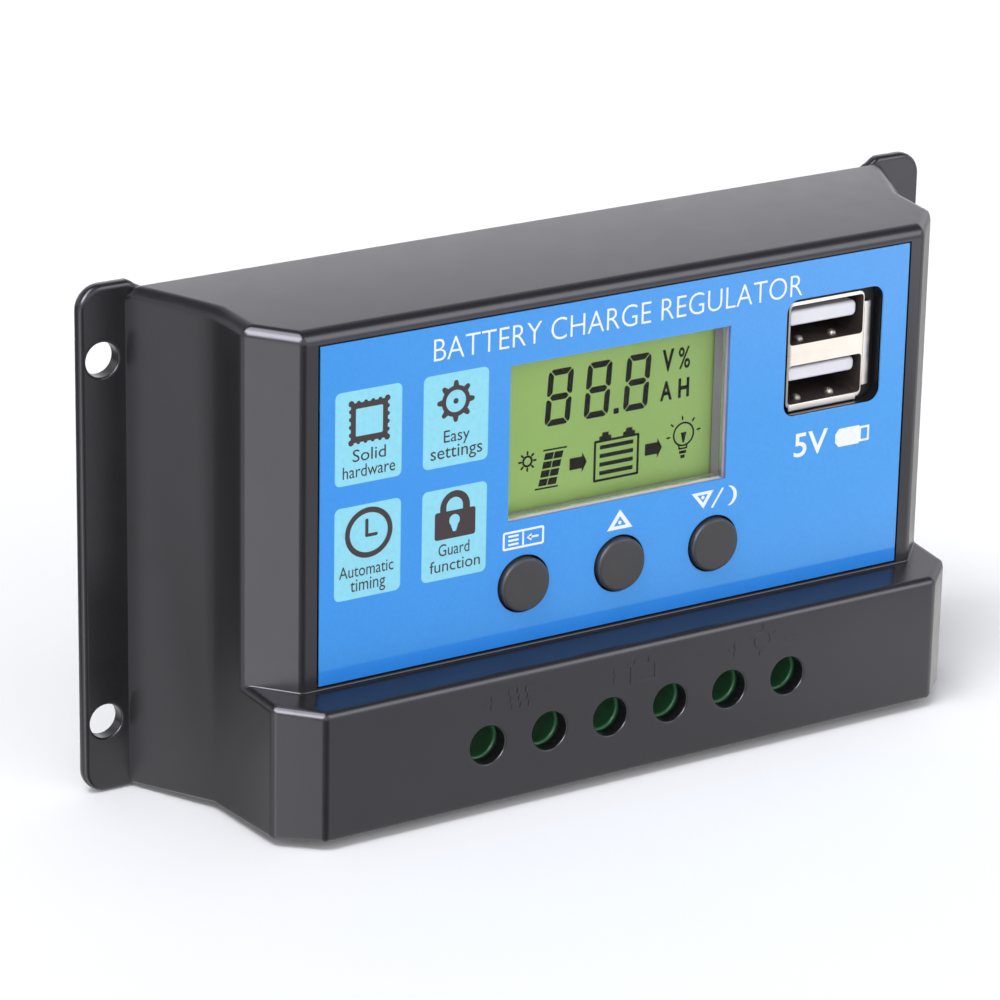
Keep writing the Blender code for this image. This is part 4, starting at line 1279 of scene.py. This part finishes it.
# =========================================================================================
# Floor
# =========================================================================================
ground = bmesh.new()
verts = bmesh.ops.create_grid(ground, x_segments=8, y_segments=8, size=4.0)["verts"]
bmesh.ops.translate(ground, vec=(0, 0, cad_low.z / MM * MM), verts=verts)
ground_mesh = bpy.data.meshes.new("floor")
ground.to_mesh(ground_mesh)
ground.free()
floor = bpy.data.objects.new("floor", ground_mesh)
bpy.context.scene.collection.objects.link(floor)

FLOOR_ALBEDO, FLOOR_CAMERA = 0.80, 0.98   # brightness for light and for the camera
FLOOR_GLOW = 0.85                         # even part of what shiny pieces see of the floor
# Soft cards on top of that glow, by the heading of the view ray in degrees from +x towards +y:
# heading, inner and outer half angle, strength (negative darkens), fade along x or None.
# A fade is (from x, to x, share at from, share at to).
CARDS = [
    (203, 8, 15, 2.35, None),
    (174, 9, 22, 0.50, None),
    (128, 14, 36, -0.64, (-0.100, -0.072, 1.0, 0.1)),
    (258, 8, 24, -0.60, None),
    (31, 18, 40, -0.66, (0.085, 0.105, 0.5, 1.0)),
    (303, 12, 30, 0.27, None),
]


def floor_glow(tree):
    """Brightness of the floor in reflections."""
    split = tree.add("ShaderNodeSeparateXYZ")
    tree.link(tree.add("ShaderNodeNewGeometry").outputs["Incoming"], split.inputs[0])
    compass = tree.add("ShaderNodeVectorMath", operation="NORMALIZE")
    flat = tree.add("ShaderNodeCombineXYZ")
    tree.link(split.outputs["X"], flat.inputs["X"])
    tree.link(split.outputs["Y"], flat.inputs["Y"])
    tree.link(flat.outputs[0], compass.inputs[0])
    glow = FLOOR_GLOW
    for heading, inner, outer, strength, fade in CARDS:
        angle = math.radians(heading)
        towards = (-math.cos(angle), -math.sin(angle), 0.0)
        card = tree.lobe(compass.outputs[0], towards, inner, outer, strength)
        if fade:
            card = tree.math("MULTIPLY", card, tree.spread(tree.axis("X"), *fade))
        glow = tree.math("ADD", card, glow)
    # the last card is brighter still on the floor far to the right
    far = tree.math("MULTIPLY", tree.spread(card, 0.0, strength),
                    tree.spread(tree.axis("X"), 0.138, 0.156, 0.0, 1.1, "SMOOTHSTEP"))
    glow = tree.math("ADD", far, glow)
    # a small brighter patch close to the right front corner
    near = tree.math("MULTIPLY", tree.spread(tree.axis("X"), 0.020, 0.065, 0.0, 0.55),
                     tree.spread(tree.axis("Y"), -0.080, -0.062, 0.0, 1.0))
    return tree.math("ADD", near, glow)


def floor_material():
    """A plain diffuse floor that shiny pieces see as glowing cards."""
    mat, tree = surface("studio_floor")
    path = tree.add("ShaderNodeLightPath")
    grain = tree.patches(0.995, 1.005, scale=40.0)
    seen = tree.spread(path.outputs["Is Camera Ray"], 0.0, 1.0, FLOOR_ALBEDO, FLOOR_CAMERA)
    gain = tree.math("MULTIPLY", seen, grain)
    diffuse = tree.add("ShaderNodeBsdfDiffuse")
    combine = tree.add("ShaderNodeCombineColor")
    for socket in combine.inputs[:3]:
        tree.link(gain, socket)
    tree.link(combine.outputs[0], diffuse.inputs["Color"])
    tree.nodes.remove(tree.shader)
    glow = floor_glow(tree)
    cards = tree.add("ShaderNodeEmission")
    tree.link(glow, cards.inputs["Strength"])
    choice = tree.add("ShaderNodeMixShader")
    tree.link(path.outputs["Is Glossy Ray"], choice.inputs[0])
    tree.link(diffuse.outputs[0], choice.inputs[1])
    tree.link(cards.outputs[0], choice.inputs[2])
    tree.link(choice.outputs[0], tree.nodes["Material Output"].inputs["Surface"])
    return mat


floor.data.materials.append(floor_material())

# =========================================================================================
# Light
# =========================================================================================
HORIZON, ZENITH = 0.95, 0.22
# Soft lights: direction, inner and outer half angle in degrees, strength
LIGHTS = [
    ((-0.365, -0.125, 0.924), 9, 17, 9.2),    # softbox overhead, a little to the left
    ((-0.15, -0.90, 0.40), 18, 48, 0.8),      # frontal fill
    ((0.512, 0.788, 0.342), 15, 52, 0.50),    # backdrop mirrored in the top face
    ((0.75, -0.45, 0.30), 15, 45, 0.4),       # fill from the right
]
# Two lights that are only there to be mirrored in the rounded edges
GLINTS = [((0.512, -0.66, 0.55), 6, 22, 3.6), ((-0.72, -0.39, 0.58), 11, 23, 16.5)]
LIGHT_TINT = (0.985, 0.99, 1.03)
BACKDROP_STRENGTH = 1.02                      # the plain white the camera sees


def studio_world():
    world = bpy.data.worlds.new("studio")
    bpy.context.scene.world = world
    world.use_nodes = True
    tree = Tree(world.node_tree)
    for node in list(tree.nodes):
        tree.nodes.remove(node)
    direction = tree.add("ShaderNodeTexCoord").outputs["Generated"]
    split = tree.add("ShaderNodeSeparateXYZ")
    tree.link(direction, split.inputs[0])

    def light(vector, *shape):
        return tree.lobe(direction, Vector(vector).normalized(), *shape)

    total = tree.spread(split.outputs["Z"], 0.30, 0.70, HORIZON, ZENITH, "SMOOTHSTEP")
    for entry in LIGHTS:
        total = tree.math("ADD", total, light(*entry))
    glints = tree.math("ADD", light(*GLINTS[0]), light(*GLINTS[1]))
    rays = tree.add("ShaderNodeLightPath")
    total = tree.math("ADD", total, tree.math("MULTIPLY", glints, rays.outputs["Is Glossy Ray"]))
    studio_light = tree.add("ShaderNodeBackground")
    combine = tree.add("ShaderNodeCombineColor")
    for socket, share in zip(combine.inputs[:3], LIGHT_TINT):
        tree.link(tree.math("MULTIPLY", total, share), socket)
    tree.link(combine.outputs[0], studio_light.inputs["Color"])
    backdrop = tree.add("ShaderNodeBackground")
    backdrop.inputs["Color"].default_value = (1.0, 1.0, 1.0, 1.0)
    backdrop.inputs["Strength"].default_value = BACKDROP_STRENGTH
    both = tree.add("ShaderNodeMixShader")
    tree.link(tree.add("ShaderNodeLightPath").outputs["Is Camera Ray"], both.inputs[0])
    tree.link(studio_light.outputs[0], both.inputs[1])
    tree.link(backdrop.outputs[0], both.inputs[2])
    tree.link(both.outputs[0], tree.add("ShaderNodeOutputWorld").inputs["Surface"])


studio_world()

# =========================================================================================
# Camera
# =========================================================================================
AZIMUTH, ELEVATION, ROLL = -0.5755423391626018, 0.3485944263697573, 0.019839927664407047   # radians
LENS = 166.96714076
# The origin as the camera sees it: right of, above and in front of the lens, in millimetres
SHIFT_X, SHIFT_Y, DISTANCE = 1.3311825548, 5.7320335432, 633.2420881275

back = Vector((math.sin(AZIMUTH) * math.cos(ELEVATION), -math.cos(AZIMUTH) * math.cos(ELEVATION),
               math.sin(ELEVATION)))
across = Vector((0, 0, 1)).cross(back).normalized()
upward = back.cross(across)
right_axis = math.cos(ROLL) * across + math.sin(ROLL) * upward
up_axis = -math.sin(ROLL) * across + math.cos(ROLL) * upward
rotation = Matrix((right_axis, up_axis, back)).transposed()
camera_data = bpy.data.cameras.new("camera")
camera_data.sensor_width = 36.0
camera_data.lens = LENS
camera_data.clip_start, camera_data.clip_end = 0.01, 20.0
camera = bpy.data.objects.new("camera", camera_data)
bpy.context.scene.collection.objects.link(camera)
place = rotation @ Vector((-SHIFT_X, -SHIFT_Y, DISTANCE)) * MM
camera.matrix_world = Matrix.Translation(place) @ rotation.to_4x4()
bpy.context.scene.camera = camera
bpy.context.scene.view_settings.view_transform = "Standard"
bpy.context.scene.view_settings.look = "None"
